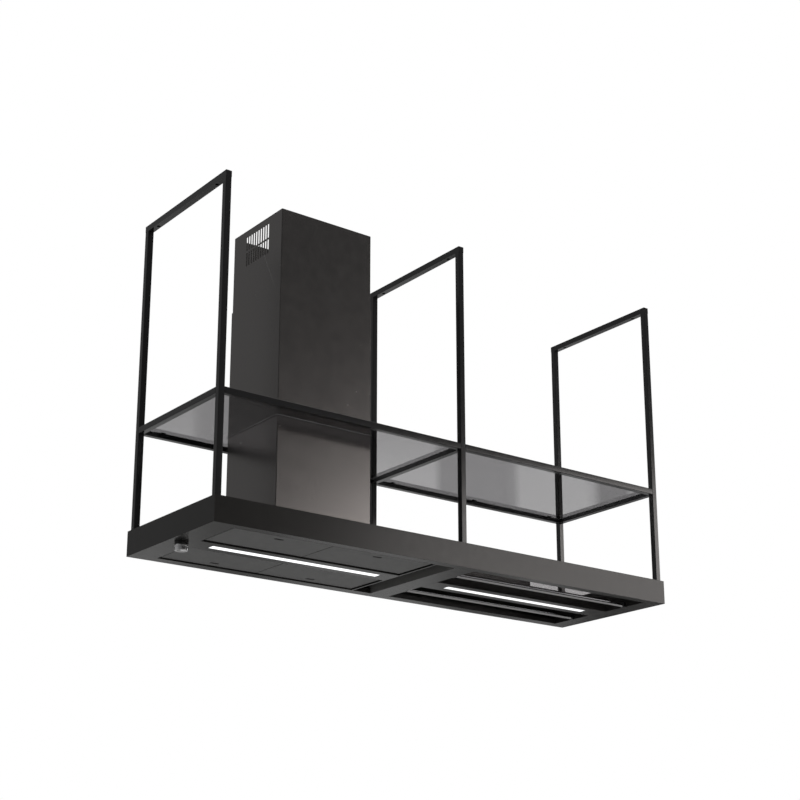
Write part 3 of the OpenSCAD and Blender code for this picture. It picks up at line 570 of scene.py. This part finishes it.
shelf_glass = smoked_glass("shelf_glass_grey", (0.215, 0.21, 0.215), (0.08, 0.09, 0.09))
bay_glass = smoked_glass("bay_glass_clear", (0.62, 0.60, 0.605), (0.20, 0.24, 0.23))
print("glass", shelf_glass.name, bay_glass.name)

# %% [markdown]
# ## Plastics, rubber and lit lenses
# Moulded parts share one recipe: a slightly uneven gloss and a spark-eroded grain from the mould. The
# opal lens glows, a little brighter over each chip of the strip behind it and fainter at its sides.

# %% Plastics and lights
LENS_HALF = 0.015


def moulded(name, colour, roughness, grain=1400.0, bump=0.10, clouds=0.08, edge_highlight=0.2):
    return powder_coat(name, colour, roughness, clouds=clouds, peel=grain, bump=bump, edge_highlight=edge_highlight, dust=0.12)


def lit_lens(name, strength, pitch, start_x, soft):
    material, tree, shader = new_material(name)
    place = add(tree, "TexCoord").outputs["Object"]
    parts = add(tree, "SeparateXYZ")
    wire(tree, place, parts.inputs[0])
    turns = maths(tree, "MULTIPLY", maths(tree, "SUBTRACT", parts.outputs["X"], start_x), 2 * pi / pitch)
    wave = maths(tree, "COSINE", turns)
    warm = spread(tree, wave, -1.0, 1.0)
    shader.inputs["Emission Strength"].default_value = strength
    side = maths(tree, "ABSOLUTE", parts.outputs["Y"])
    fade = spread(tree, side, LENS_HALF * (1 - soft), LENS_HALF)
    glow = mixed(tree, warm, (0.93, 0.96, 1.0, 1), (1.0, 1.0, 0.98, 1))
    wire(tree, mixed(tree, fade, glow, (0.16, 0.16, 0.165, 1)), shader.inputs["Emission Color"])
    cloud = noise(tree, place, 40.0)
    wire(tree, mixed(tree, cloud, (0.84, 0.85, 0.86, 1), (0.90, 0.91, 0.92, 1)), shader.inputs["Base Color"])
    wire(tree, spread(tree, noise(tree, place, 300.0), 0.3, 0.7, 0.35, 0.5), shader.inputs["Roughness"])
    return material


black_plastic = moulded("black_plastic", (0.014, 0.014, 0.015), 0.40)
white_plastic = moulded("white_plastic", (0.62, 0.62, 0.60), 0.38)
blower_plastic = moulded("blower_plastic", (0.045, 0.048, 0.052), 0.45)
flap_plastic = moulded("flap_plastic", (0.58, 0.58, 0.56), 0.42)
clear_rubber = moulded("clear_rubber", (0.26, 0.26, 0.26), 0.55, grain=500.0)
motor_paint = powder_coat("motor_paint_grey", (0.13, 0.14, 0.15), 0.45, bump=0.10, dust=0.1)
print("plastics", black_plastic.name, white_plastic.name, blower_plastic.name, flap_plastic.name)

# %% [markdown]
# ## Finishes with two colours
# Some imported pieces hold two real colours. An LED strip is a pale board with yellow chips below it,
# and the control board is green with dark parts on top, so one colour gives way to the other at the
# height of the board's face. The box under the middle portal is black, and its walls that look to the
# left get a paler colour, which is painted light. There the split goes by the way a face looks.

# %% Finishes with two colours
STRIP_FACE = -1.0900  # height of the faces that carry the chips
BOARD_TOP = -1.0784  # height of the control board's upper face


def two_storey(name, border, below, above, roughness):
    """A finish with one colour below a height and another above it."""
    material = powder_coat(name, below, roughness, bump=0.05)
    tree = material.node_tree
    parts = add(tree, "SeparateXYZ")
    wire(tree, add(tree, "TexCoord").outputs["Object"], parts.inputs[0])
    lay_over(material, spread(tree, parts.outputs["Z"], border - 0.0001, border + 0.0001), above)
    return material


def painted_light_trough_coat(name):
    """The tray coat, with painted light: a paler colour on the walls that look towards -X."""
    material = powder_coat(name, **TRAY_COAT)
    tree = material.node_tree
    parts = add(tree, "SeparateXYZ")
    wire(tree, add(tree, "TexCoord").outputs["Normal"], parts.inputs[0])
    # Painted light: the walls that look towards -X are made paler, as if lit brighter.
    lay_over(material, spread(tree, parts.outputs["X"], -0.9, -0.99), (0.20, 0.198, 0.195))
    return material


middle_painted_light_coat = painted_light_trough_coat("middle_box_painted_light_coat")
strip_finish = two_storey("strip_board", STRIP_FACE, (0.80, 0.66, 0.12), (0.80, 0.80, 0.78), 0.35)
board_finish = two_storey("circuit_board", BOARD_TOP, (0.015, 0.10, 0.04), (0.03, 0.035, 0.04), 0.35)
print("two colours", middle_painted_light_coat.name, strip_finish.name, board_finish.name)

# %% [markdown]
# ## Modelling helpers
# Every operator works on whatever is selected, so each helper starts from nothing selected. Faces and
# edges are then picked in code, by where they are and which way they look, as a hand would click them.

# %% Selection helpers
def only(piece):
    """Leaves edit mode and selects this piece alone."""
    if bpy.context.object and bpy.context.object.mode != "OBJECT":
        bpy.ops.object.mode_set(mode="OBJECT")
    bpy.ops.object.select_all(action="DESELECT")
    piece.select_set(True)
    bpy.context.view_layer.objects.active = piece


def pick_faces(piece, wanted):
    """Goes into edit mode with the faces selected for which the test holds. Gives their number."""
    only(piece)
    bpy.ops.object.mode_set(mode="EDIT")
    bpy.ops.mesh.select_mode(type="FACE")
    bpy.ops.mesh.select_all(action="DESELECT")
    mesh = bmesh.from_edit_mesh(piece.data)
    found = [f for f in mesh.faces if wanted(f.calc_center_median(), f.normal)]
    for face in found:
        face.select = True
    bmesh.update_edit_mesh(piece.data)
    return len(found)


def pick_edges(piece, wanted):
    """Goes into edit mode with the edges selected for which the test on their two ends holds."""
    only(piece)
    bpy.ops.object.mode_set(mode="EDIT")
    bpy.ops.mesh.select_mode(type="EDGE")
    bpy.ops.mesh.select_all(action="DESELECT")
    mesh = bmesh.from_edit_mesh(piece.data)
    found = [e for e in mesh.edges if wanted(e.verts[0].co, e.verts[1].co)]
    for edge in found:
        edge.select = True
    bmesh.update_edit_mesh(piece.data)
    return len(found)


def done(piece):
    """Back to object mode."""
    bpy.ops.object.mode_set(mode="OBJECT")
    return piece


def block(name, low, high):
    """A cube primitive at its size and place, from one corner to the other."""
    bpy.ops.object.select_all(action="DESELECT")
    bpy.ops.mesh.primitive_cube_add(size=1, location=(Vector(low) + Vector(high)) / 2,
                                    scale=Vector(high) - Vector(low))
    piece = bpy.context.object
    piece.name = name
    bpy.ops.object.transform_apply(location=True, rotation=True, scale=True)
    return piece


def copy_of(piece, name, move):
    """A copy with a mesh of its own, moved by changing the mesh and not the object."""
    twin = piece.copy()
    twin.data = piece.data.copy()
    twin.name = name
    bpy.context.scene.collection.objects.link(twin)
    twin.data.transform(move if isinstance(move, Matrix) else Matrix.Translation(Vector(move)))
    return twin


def joined(pieces, name):
    """Joins pieces into one."""
    only(pieces[0])
    for piece in pieces:
        piece.select_set(True)
    bpy.ops.object.join()
    pieces[0].name = name
    return pieces[0]


print("modelling helpers ready")

# %% [markdown]
# ## Rounding and finishing
# No real sheet or tube has a knife edge. The Bevel modifier rounds every edge between two faces that
# meet at a clear angle. It also tells the rounded faces apart by a second material index, and that
# is turned into an attribute called edge, which the mask of the painted edge highlight reads. The last
# step of every piece is the same: its material, smooth shading up to a crease angle, the body it rides
# on and what it stands for.

# %% Rounding and finishing helpers
def rounded(piece, width, segments=2, angle=30):
    """Rounds all edges and notes which faces came from that."""
    blank = bpy.data.materials.get("blank") or bpy.data.materials.new("blank")
    piece.data.materials.clear()
    piece.data.materials.append(blank)
    piece.data.materials.append(blank)
    only(piece)
    bevel = piece.modifiers.new("round", "BEVEL")
    bevel.width = width
    bevel.segments = segments
    bevel.limit_method = "ANGLE"
    bevel.angle_limit = radians(angle)
    bevel.material = 1
    bpy.ops.object.modifier_apply(modifier="round")
    mesh = piece.data
    marks = [float(face.material_index == 1) for face in mesh.polygons]
    if "edge" in mesh.attributes:
        mesh.attributes.remove(mesh.attributes["edge"])
    edge = mesh.attributes.new("edge", "FLOAT", "FACE")
    edge.data.foreach_set("value", marks)
    mesh.polygons.foreach_set("material_index", [0] * len(marks))
    return piece


def settle(piece, material, nodes=(), body="root", crease=32):
    """Gives a finished piece its material, shading and body, and hides the nodes that it stands for."""
    piece.data.materials.clear()
    piece.data.materials.append(material)
    only(piece)
    bpy.ops.object.shade_smooth_by_angle(angle=radians(crease))
    level = piece.modifiers.new("flat faces stay flat", "WEIGHTED_NORMAL")
    level.keep_sharp = True
    bpy.ops.object.modifier_apply(modifier=level.name)
    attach(piece, body)
    if nodes:
        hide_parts(*nodes)
    return piece


def sharp_copy(node, name=None):
    """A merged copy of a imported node, free to be shaped."""
    source = frame["nodes"][node]
    piece = source.copy()
    piece.data = source.data.copy()
    piece.name = name or node + "_finished"
    bpy.context.scene.collection.objects.link(piece)
    del piece["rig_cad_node"]
    del piece["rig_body"]
    piece.parent = None
    only(piece)
    if piece.data.has_custom_normals:
        bpy.ops.mesh.customdata_custom_splitnormals_clear()
    bpy.ops.object.mode_set(mode="EDIT")
    bpy.ops.mesh.select_all(action="SELECT")
    bpy.ops.mesh.remove_doubles(threshold=0.00001)
    bpy.ops.mesh.dissolve_limited(angle_limit=radians(0.5))
    return done(piece)


print("finishing helpers ready")

# %% [markdown]
# ## The frame of square tube
# Each portal has two upright posts, a top rail that screws to the ceiling and a cross rail at shelf
# height, and long rails join the portals. Square tube is rolled from strip, so its long corners are
# round while its cut ends are sharp. A cube is stretched to the tube's size, its ends are inset by the
# wall and bridged into a bore, and the four long corners are bevelled. One post is made and copied.

# %% Square tube
TUBE_WALL = 0.0015
TUBE_CORNER = 0.0018


def square_tube(name, low, high):
    """A piece of square tube that fills a box, open along its longest side."""
    low, high = Vector(low), Vector(high)
    size = high - low
    along = max(range(3), key=lambda i: size[i])
    piece = block(name, low, high)
    pick_faces(piece, lambda centre, normal: abs(normal[along]) > 0.9)
    bpy.ops.mesh.inset(thickness=TUBE_WALL, use_individual=True)
    bpy.ops.mesh.bridge_edge_loops()
    done(piece)

    def corner(a, b):
        lengthways = abs((a - b)[along]) > size[along] / 2
        outside = all(min(abs(a[i] - low[i]), abs(a[i] - high[i])) < 1e-5 for i in range(3))
        return lengthways and outside

    pick_edges(piece, corner)
    bpy.ops.mesh.bevel(offset=TUBE_CORNER, segments=3, affect="EDGES")
    done(piece)
    return rounded(piece, 0.0002, segments=1, angle=60)


def halves(node, axis):
    """The two boxes of a node that has two equal pieces side by side along an axis."""
    source = frame["nodes"][node].data
    low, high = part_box(node)
    middle = (low[axis] + high[axis]) / 2
    boxes = []
    for test in (lambda v: v < middle, lambda v: v > middle):
        points = [v.co for v in source.vertices if test(v.co[axis])]
        boxes.append((Vector([min(p[i] for p in points) for i in range(3)]),
                      Vector([max(p[i] for p in points) for i in range(3)])))
    return boxes


first_post = None
for side in ("left", "middle", "right"):
    for place, (low, high) in zip(("front", "back"), halves(side + "_posts", 1)):
        name = f"{side}_{place}_post"
        if first_post is None:
            first_post, home = square_tube(name, low, high), low
            post = first_post
        else:
            post = copy_of(first_post, name, low - home)
        settle(post, frame_black, [side + "_posts"])
    low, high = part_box(side + "_shelf_rail")
    settle(square_tube(side + "_cross_rail", low, high), frame_black, [side + "_shelf_rail"])
for place in ("front", "back"):
    node = place + "_shelf_rails"
    points = [v.co for v in frame["nodes"][node].data.vertices]
    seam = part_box("middle_posts")[0].x
    for side, part in (("left", [p for p in points if p.x < seam + 0.001]),
                       ("right", [p for p in points if p.x > seam + 0.001])):
        low = Vector([min(p[i] for p in part) for i in range(3)])
        high = Vector([max(p[i] for p in part) for i in range(3)])
        settle(square_tube(f"{place}_{side}_long_rail", low, high), frame_black, [node])

# %% [markdown]
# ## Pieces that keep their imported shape
# Folded sheets, boxes and mouldings already have the right form, with their slots, holes and folds. A
# merged copy of each gets rounded edges at its own scale: a fold in 1.5 mm sheet has a radius of about
# half a millimetre, a moulding a little more. The table gives the width in millimetres.

# %% Rounded pieces
ROUNDED = {
    "left_top_rail": (0.6, frame_black, "frame_black"),
    "middle_top_rail": (0.6, frame_black, "frame_black"),
    "right_top_rail": (0.6, frame_black, "frame_black"),
    "glass_tabs": (0.4, frame_black, "frame_black"),
    "front_skirt": (0.5, tray_black, "tray_black"),
    "back_skirt": (0.5, tray_black, "tray_black"),
    "left_end_box": (0.5, tray_black, "tray_black"),
    "middle_box": (0.5, middle_painted_light_coat, "tray_black"),
    "right_end_box": (0.5, tray_black, "tray_black"),
    "hood_top_plate": (0.4, inner_grey, "tray_black"),
    "hood_fascia": (0.4, tray_black, "tray_black"),
    "bay_light_beam": (0.5, tray_black, "tray_black"),
    "deck_plate": (0.4, tray_black, "tray_black"),
    "service_box": (0.4, tray_black, "tray_black"),
    "front_left_panel": (0.4, panel_black, "panel_black"),
    "front_right_panel": (0.4, panel_black, "panel_black"),
    "back_left_panel": (0.4, panel_black, "panel_black"),
    "back_right_panel": (0.4, panel_black, "panel_black"),
    "shelf_glass_left": (0.8, shelf_glass, "smoked_glass"),
    "shelf_glass_centre": (0.8, shelf_glass, "smoked_glass"),
    "shelf_glass_right": (0.8, shelf_glass, "smoked_glass"),
    "deck_glass": (0.8, bay_glass, "smoked_glass"),
    "glass_pads": (0.3, clear_rubber, "pad_rubber"),
    "panel_hinges": (0.3, zinc, "zinc_steel"),
    "blower_casing": (0.5, zinc, "zinc_steel"),
    "chamber_lid": (0.4, zinc, "zinc_steel"),
    "outlet_spigot": (0.3, zinc, "zinc_steel"),
    "front_filters": (0.3, filter_alu, "filter_aluminium"),
    "back_filters": (0.3, filter_alu, "filter_aluminium"),
    "hood_light_channel": (0.3, channel_alu, "channel_aluminium"),
    "bay_light_channel": (0.3, channel_alu, "channel_aluminium"),
    "led_driver": (0.8, white_plastic, "driver_plastic"),
    "front_hanging_rod": (0.8, rod_steel, "polished_steel"),
    "back_hanging_rod": (0.8, rod_steel, "polished_steel"),
    "motor_shaft": (0.6, rod_steel, "polished_steel"),
    "rod_sockets": (0.5, black_plastic, "socket_black"),
    "knob_collar": (0.5, black_plastic, "socket_black"),
    "cable_gland": (0.5, black_plastic, "socket_black"),
    "control_board": (0.2, board_finish, "circuit_green"),
    "hood_led_strip": (0.1, strip_finish, "led_board"),
    "bay_led_strip": (0.1, strip_finish, "led_board"),
    "left_flap": (0.3, flap_plastic, "flap_plastic"),
    "right_flap": (0.3, flap_plastic, "flap_plastic"),
}
body_of_node = {n: o["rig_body"] for n, o in frame["nodes"].items()}
for node, (width, material, slot) in ROUNDED.items():
    piece = rounded(sharp_copy(node), width / 1000)
    settle(piece, material, [node], body_of_node[node])
print("rounded", len(ROUNDED), "pieces")

# %% [markdown]
# ## The lit lenses
# Both lights have an opal lens under a strip of chips. A merged copy of each packed lens is rounded like
# the other pieces. The two share one recipe, and the lens of the right bay fades over more of its width.

# %% Lit lenses
CHIP_PITCH = 0.016
LENS_POWER = 1.5
LENS_FADE = {"hood_light_lens": 0.45, "bay_light_lens": 0.85}
for node, fade in LENS_FADE.items():
    glow = lit_lens(node + "_opal", LENS_POWER, CHIP_PITCH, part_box(node)[0].x, fade)
    settle(rounded(sharp_copy(node), 0.0003), glow, [node])
print("lenses", len(LENS_FADE))

# %% [markdown]
# ## The chimney sleeves
# Each sleeve is one long sheet with four bends. A bend in 1.2 mm sheet has an outer radius of about
# 3 mm, and it catches the light as a thin line from top to bottom. A cube without its top and bottom is
# bevelled along its four upright edges, then the Solidify modifier gives it the sheet's thickness
# inwards. The vents of the upper sleeve are punched through both sides with one row of cutters, made
# once and copied, since a Boolean after the bends leaves the bends alone.

# %% Sleeves
SLEEVE_SHEET = 0.0012
BEND = 0.003
SLOT_W, SLOT_H, SLOT_PITCH, SLOT_WEB = 0.008, 0.048, 0.014, 0.006
SLOT_COUNT, SLOT_ROWS, SLOT_MARGIN, SLOT_CORNER = 10, 2, 0.024, 0.001


def folded_sleeve(name, low, high):
    """A square sleeve of bent sheet, open at the top and the bottom."""
    sleeve = block(name, low, high)
    pick_faces(sleeve, lambda centre, normal: abs(normal.z) > 0.9)
    bpy.ops.mesh.delete(type="ONLY_FACE")
    done(sleeve)
    pick_edges(sleeve, lambda a, b: abs((a - b).z) > 0.05)
    bpy.ops.mesh.bevel(offset=BEND, segments=5, affect="EDGES")
    done(sleeve)
    only(sleeve)
    wall = sleeve.modifiers.new("wall", "SOLIDIFY")
    wall.thickness = SLEEVE_SHEET
    wall.offset = -1
    wall.use_even_offset = True
    bpy.ops.object.modifier_apply(modifier="wall")
    return rounded(sleeve, 0.0002, segments=1, angle=60)


def punch_vents(sleeve, low, high):
    """Cuts the rows of vent slots through the left and the right side."""
    first_y = (low.y + high.y - (SLOT_COUNT - 1) * SLOT_PITCH - SLOT_W) / 2
    top = high.z - SLOT_MARGIN
    slot = block("slot", (low.x - 0.01, first_y, top - SLOT_H), (high.x + 0.01, first_y + SLOT_W, top))
    pick_edges(slot, lambda a, b: abs((a - b).x) > 0.1)
    bpy.ops.mesh.bevel(offset=SLOT_CORNER, segments=3, affect="EDGES")
    done(slot)
    cutters = [slot] + [copy_of(slot, "slot_copy", (0, column * SLOT_PITCH, -row * (SLOT_H + SLOT_WEB)))
                        for row in range(SLOT_ROWS) for column in range(SLOT_COUNT) if row or column]
    tool = joined(cutters, "vent_tool")
    only(sleeve)
    cut = sleeve.modifiers.new("vents", "BOOLEAN")
    cut.object = tool
    bpy.ops.object.modifier_apply(modifier="vents")
    bpy.data.objects.remove(tool)


for node in ("chimney_lower", "chimney_upper"):
    low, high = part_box(node)
    sleeve = folded_sleeve(node + "_folded", low, high)
    if node == "chimney_upper":
        punch_vents(sleeve, low, high)
    settle(sleeve, sleeve_black, [node], body_of_node[node])
    flat = pick_faces(sleeve, lambda centre, normal: max(abs(n) for n in normal) > 0.99999)
    bpy.ops.mesh.set_normals_from_faces(keep_sharp=True)
    done(sleeve)
    print(node, "flat faces", flat, "of", len(sleeve.data.polygons))

# %% [markdown]
# ## A turning helper
# Round parts are turned on a lathe or spun from sheet. In edit mode the same thing is done by drawing a
# circle out ring by ring: each ring is extruded from the last, then scaled to its own radius. Rings
# that come back inside the piece make a bore.

# %% Lathe
def lathe(name, rings, centre, axis="Z", sides=64):
    """A turned piece from (radius, height) rings in millimetres, along an axis through its centre."""
    bpy.ops.object.select_all(action="DESELECT")
    radius, height = rings[0]
    bpy.ops.mesh.primitive_circle_add(vertices=sides, radius=radius / 1000, fill_type="NGON",
                                      location=(0, 0, height / 1000))
    piece = bpy.context.object
    piece.name = name
    bpy.ops.object.transform_apply(location=True, rotation=True, scale=True)
    bpy.ops.object.mode_set(mode="EDIT")
    bpy.ops.mesh.select_all(action="SELECT")
    for next_radius, next_height in rings[1:]:
        bpy.ops.mesh.extrude_region_move(
            TRANSFORM_OT_translate={"value": (0, 0, (next_height - height) / 1000)})
        grow = next_radius / radius
        bpy.ops.transform.resize(value=(grow, grow, 1), center_override=(0, 0, next_height / 1000))
        radius, height = next_radius, next_height
    bpy.ops.mesh.select_all(action="SELECT")
    bpy.ops.mesh.normals_make_consistent(inside=False)
    done(piece)
    turn = {"X": Matrix.Rotation(pi / 2, 4, "Y"), "Y": Matrix.Rotation(-pi / 2, 4, "X"), "Z": Matrix()}[axis]
    piece.data.transform(Matrix.Translation(Vector(centre)) @ turn)
    return piece


def about(axis, angle, centre):
    """A turn about an axis through a point."""
    there = Matrix.Translation(Vector(centre))
    return there @ Matrix.Rotation(angle, 4, axis) @ there.inverted()


print("lathe ready")

# %% [markdown]
# ## The control knob
# The knob is turned from brass and chromed: a ring at the top, a groove for the fingers, and a body
# whose lower edge is rounded over to a shallow dish. Chrome has no look of its own: it shows the room
# and the lights that stand round it. The stem reaches up through the collar into the switch.

# %% Control knob
low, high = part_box("control_knob")
knob_axis = ((low.x + high.x) / 2, (low.y + high.y) / 2, low.z)
chrome = drawn_metal("knob_chrome", (0.80, 0.80, 0.81), 0.09, (60.0, 60.0, 900.0), depth=0.05, bump=0.01)
dish = [(1, 1.6), (12, 1.4), (15.4, 0.9), (16.4, 0.2), (17, 0), (18.4, 0.25), (19.4, 0.9), (19.8, 1.8)]
groove = [(19.8, 10.4), (19.4, 10.9), (18.3, 11.2), (17.9, 11.6), (17.9, 13.0), (18.3, 13.4), (19.5, 13.7)]
top_ring = [(20, 14.3), (20, 18.0), (19.7, 18.7), (18.9, 19.2), (17.6, 19.6)]
stem = [(3.4, 20.0), (3.0, 20.4), (3.0, 44.8), (2.2, 45.6)]
knob = lathe("control_knob_turned", dish + groove + top_ring + stem, knob_axis, sides=96)
settle(rounded(knob, 0.0001, segments=1), chrome, ["control_knob"], "knob", crease=50)
print("knob", len(knob.data.polygons), "faces, stem up to", round(max(v.co.z for v in knob.data.vertices), 4))

# %% [markdown]
# ## The motor
# The motor is a round aluminium casting with cooling fins. It sits in the inlet of the casing on three
# flat arms, so that the air flows past it. The front has a bearing boss round the bore of the shaft.

# %% Motor
low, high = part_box("motor")
axis_z = (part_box("impeller")[0].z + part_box("impeller")[1].z) / 2
motor_l = (high.x - low.x) * 1000
motor_r, fin_root = 45, 40.5
fins, fin_pitch, first_fin = 8, 8.4, 14
motor_rings = [(5.7, 20), (5.7, 0.4), (6.2, 0), (11, 0), (12, 1), (12.5, 4), (38, 5), (43, 8), (motor_r, 12)]
for i in range(fins):
    start = first_fin + i * fin_pitch
    motor_rings += [(motor_r, start), (44.7, start + 0.4), (fin_root, start + 1.4),
                    (fin_root, start + 5.2), (44.7, start + 6.2), (motor_r, start + 6.6)]
motor_rings += [(motor_r, motor_l - 6), (43, motor_l - 1.5), (39, motor_l), (10, motor_l),
                (9, motor_l - 2), (1, motor_l - 2)]
motor_parts = [lathe("motor_body", motor_rings, (low.x, 0, axis_z), axis="X", sides=72)]

arm_start, arm_end = axis_z + 0.0395, axis_z + 0.074
arm_half, arm_sheet = 0.007, 0.003
casing_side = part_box("blower_casing")[1].x
arm = block("motor_arm", (casing_side, -arm_half, arm_start), (casing_side + arm_sheet, arm_half, arm_end))
for angle in (210, 330):
    motor_parts.append(copy_of(arm, "motor_arm_copy", about("X", radians(angle), (0, 0, axis_z))))
arm.data.transform(about("X", radians(90), (0, 0, axis_z)))
motor_parts.append(arm)
motor = joined(motor_parts, "motor_cast")
settle(rounded(motor, 0.0004), motor_paint, ["motor"])
print("motor", len(motor.data.polygons), "faces")

# %% [markdown]
# ## The impeller
# A double-inlet impeller has its blades between two rings, with a disc in the middle that carries the
# hub. The blades of such a wheel are curved forward. One blade is a thin strip spun through an arc, and
# it is copied round the axis, each copy turned by its share of the circle.

# %% Impeller
low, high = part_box("impeller")
blades, blade_half, blade_bend = 32, 0.0006, 0.0085
ring_sheet, ring_depth, blade_start = 0.003, 0.013, 0.0001
into_ring = ring_sheet / 2
blade_top = axis_z + (high.z - low.z) / 2 - into_ring
blade_root = blade_top - blade_start
blade = block("blade", (low.x + into_ring, -blade_half, blade_root),
              (high.x - into_ring, blade_half, blade_top))
pick_faces(blade, lambda centre, normal: normal.z < -0.9)
bpy.ops.mesh.spin(steps=8, angle=radians(-85), center=(0, blade_bend, blade_root), axis=(1, 0, 0))
bpy.ops.mesh.select_all(action="SELECT")
bpy.ops.mesh.normals_make_consistent(inside=False)
done(blade)
wheel = [blade] + [copy_of(blade, "blade_copy", about("X", 2 * pi * i / blades, (0, 0, axis_z)))
                   for i in range(1, blades)]
ring_rings = [(79, 0), (80, 0.6), (80, 2.4), (79, 3)]
for start in (low.x, high.x - ring_sheet):
    ring = lathe("wheel_ring", ring_rings, (start, 0, axis_z), axis="X", sides=96)
    pick_faces(ring, lambda centre, normal: abs(normal.x) > 0.9)
    bpy.ops.mesh.inset(thickness=ring_depth, use_individual=True)
    bpy.ops.mesh.bridge_edge_loops()
    wheel.append(done(ring))
hub_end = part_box("motor_shaft")[0].x + 0.003
hub_rings = [(13, 0), (14, 1), (14, 11), (16, 12.2), (77, 12.8), (78.5, 13.4), (78.5, 15), (77, 15.4),
             (16, 16), (14, 17.2), (14, 27), (13, 28)]
wheel.append(lathe("wheel_hub", hub_rings, (hub_end, 0, axis_z), axis="X", sides=96))
impeller = joined(wheel, "impeller_moulded")
settle(rounded(impeller, 0.0001, segments=1), blower_plastic, ["impeller"], "rotor")
print("impeller", blades, "blades,", len(impeller.data.polygons), "faces")

# %% [markdown]
# ## Inlet rings of the blower
# The round inlets of the casing have a rolled edge, so that the air turns in without noise. A rolled
# edge is a half round: the rings run out from the sheet, over the crown and back.

# %% Inlet rings
low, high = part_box("blower_casing")
roll = [(64.5, 0), (64.6, 2.0), (65.4, 3.4), (66.8, 4.2), (68.4, 4.2), (69.8, 3.4), (70.6, 2.0), (70.7, 0)]
for side, x, turn in (("left", low.x, pi), ("right", high.x, 0)):
    ring = lathe("inlet_ring_" + side, roll, (x, 0, axis_z), axis="X", sides=96)
    pick_faces(ring, lambda centre, normal: abs(normal.x) > 0.99 and abs(centre.y) < 1e-4)
    bpy.ops.mesh.bridge_edge_loops()
    done(ring)
    ring.data.transform(about("Y", turn, (x, 0, axis_z)))
    settle(rounded(ring, 0.0001, segments=1), zinc, crease=50)
print("inlet rings 2")

# %% [markdown]
# ## The lid and the screws of the service box
# The box behind the deck is closed by a lid of sheet with six pan head screws. A pan head is turned, and
# its cross is cut by a Boolean with two crossed bars. One screw is made and copied.

# %% Lid and screws
screw_rings = [(4.0, 0), (4.0, 0.7), (3.8, 1.3), (3.3, 1.8), (2.5, 2.15), (1.4, 2.3)]
first_screw = lathe("pan_screw", screw_rings, (0, 0, 0), sides=32)
arm, half, bottom, above = 0.0022, 0.00045, 0.0009, 0.004
bars = joined([block("bar_a", (-arm, -half, bottom), (arm, half, above)),
               block("bar_b", (-half, -arm, bottom), (half, arm, above))], "cross_bars")
only(first_screw)
cut = first_screw.modifiers.new("cross", "BOOLEAN")
cut.object = bars
cut.use_self = True
bpy.ops.object.modifier_apply(modifier="cross")
bpy.data.objects.remove(bars)


def screws(name, xs, ys, z):
    """Screws at each x and y on a face at height z, as one piece."""
    pieces = [copy_of(first_screw, "screw_copy", (x, y, z)) for x in xs for y in ys]
    return settle(joined(pieces, name), screw_steel)


lid_gap, lid_sheet = 0.004, 0.0012
low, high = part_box("service_box")
lid_z = high.z + lid_sheet
lid = block("service_lid", (low.x + lid_gap, low.y + lid_gap, high.z),
            (high.x - lid_gap, high.y - lid_gap, lid_z))
settle(rounded(lid, 0.0005), tray_black)
screws("lid_screws", (low.x + 0.02, (low.x + high.x) / 2, high.x - 0.02),
       (low.y + 0.014, high.y - 0.014), lid_z)
corner_gap = 0.012
low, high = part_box("deck_plate")
screws("deck_screws", (low.x + corner_gap, high.x - corner_gap), (high.y - 0.009,), high.z)
low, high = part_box("chamber_lid")
screws("chamber_screws", (low.x + corner_gap, high.x - corner_gap), (low.y + corner_gap, high.y - corner_gap),
       high.z)
bpy.data.objects.remove(first_screw)

# %% [markdown]
# ## Parts on the control board
# Above the switch, the board carries what a small control needs: two smoothing capacitors with their
# crimped groove, and a green terminal strip with a port for each wire.

# %% Board parts
can_pitch = 0.012
low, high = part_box("control_board")
can_rings = [(4.6, 0), (5, 0.5), (5, 1.6), (4.5, 2.2), (5, 2.8), (5, 8.6), (4.6, 9.2), (4.2, 9.2), (4.0, 9.0)]
can = lathe("capacitor", can_rings, (low.x + 0.010, can_pitch / 2, BOARD_TOP), sides=40)
cans = joined([can, copy_of(can, "capacitor_copy", (0, -can_pitch, 0))], "capacitors")
settle(rounded(cans, 0.0001, segments=1), motor_paint)
strip_half, strip_h, strip_in, strip_out = 0.012, 0.009, high.x - 0.013, high.x - 0.004
strip = block("terminal_strip", (strip_in, -strip_half, BOARD_TOP),
              (strip_out, strip_half, BOARD_TOP + strip_h))
only(strip)
bpy.ops.object.mode_set(mode="EDIT")
bpy.ops.mesh.select_all(action="SELECT")
bpy.ops.mesh.bisect(plane_co=(0, 0, 0), plane_no=(0, 1, 0))
done(strip)
port_rim, port_depth = 0.002, 0.004
pick_faces(strip, lambda centre, normal: normal.x > 0.9)
bpy.ops.mesh.inset(thickness=port_rim, use_individual=True)
bpy.ops.mesh.extrude_region_move(TRANSFORM_OT_translate={"value": (-port_depth, 0, 0)})
done(strip)
green_plastic = moulded("terminal_green", (0.02, 0.20, 0.06), 0.4)
settle(rounded(strip, 0.0003), green_plastic)
print("board parts 2")

# %% [markdown]
# ## Measure
# The bounds of the finished model are measured. The visual model has to stay inside the
# imported one.

# %% Size
low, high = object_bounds()
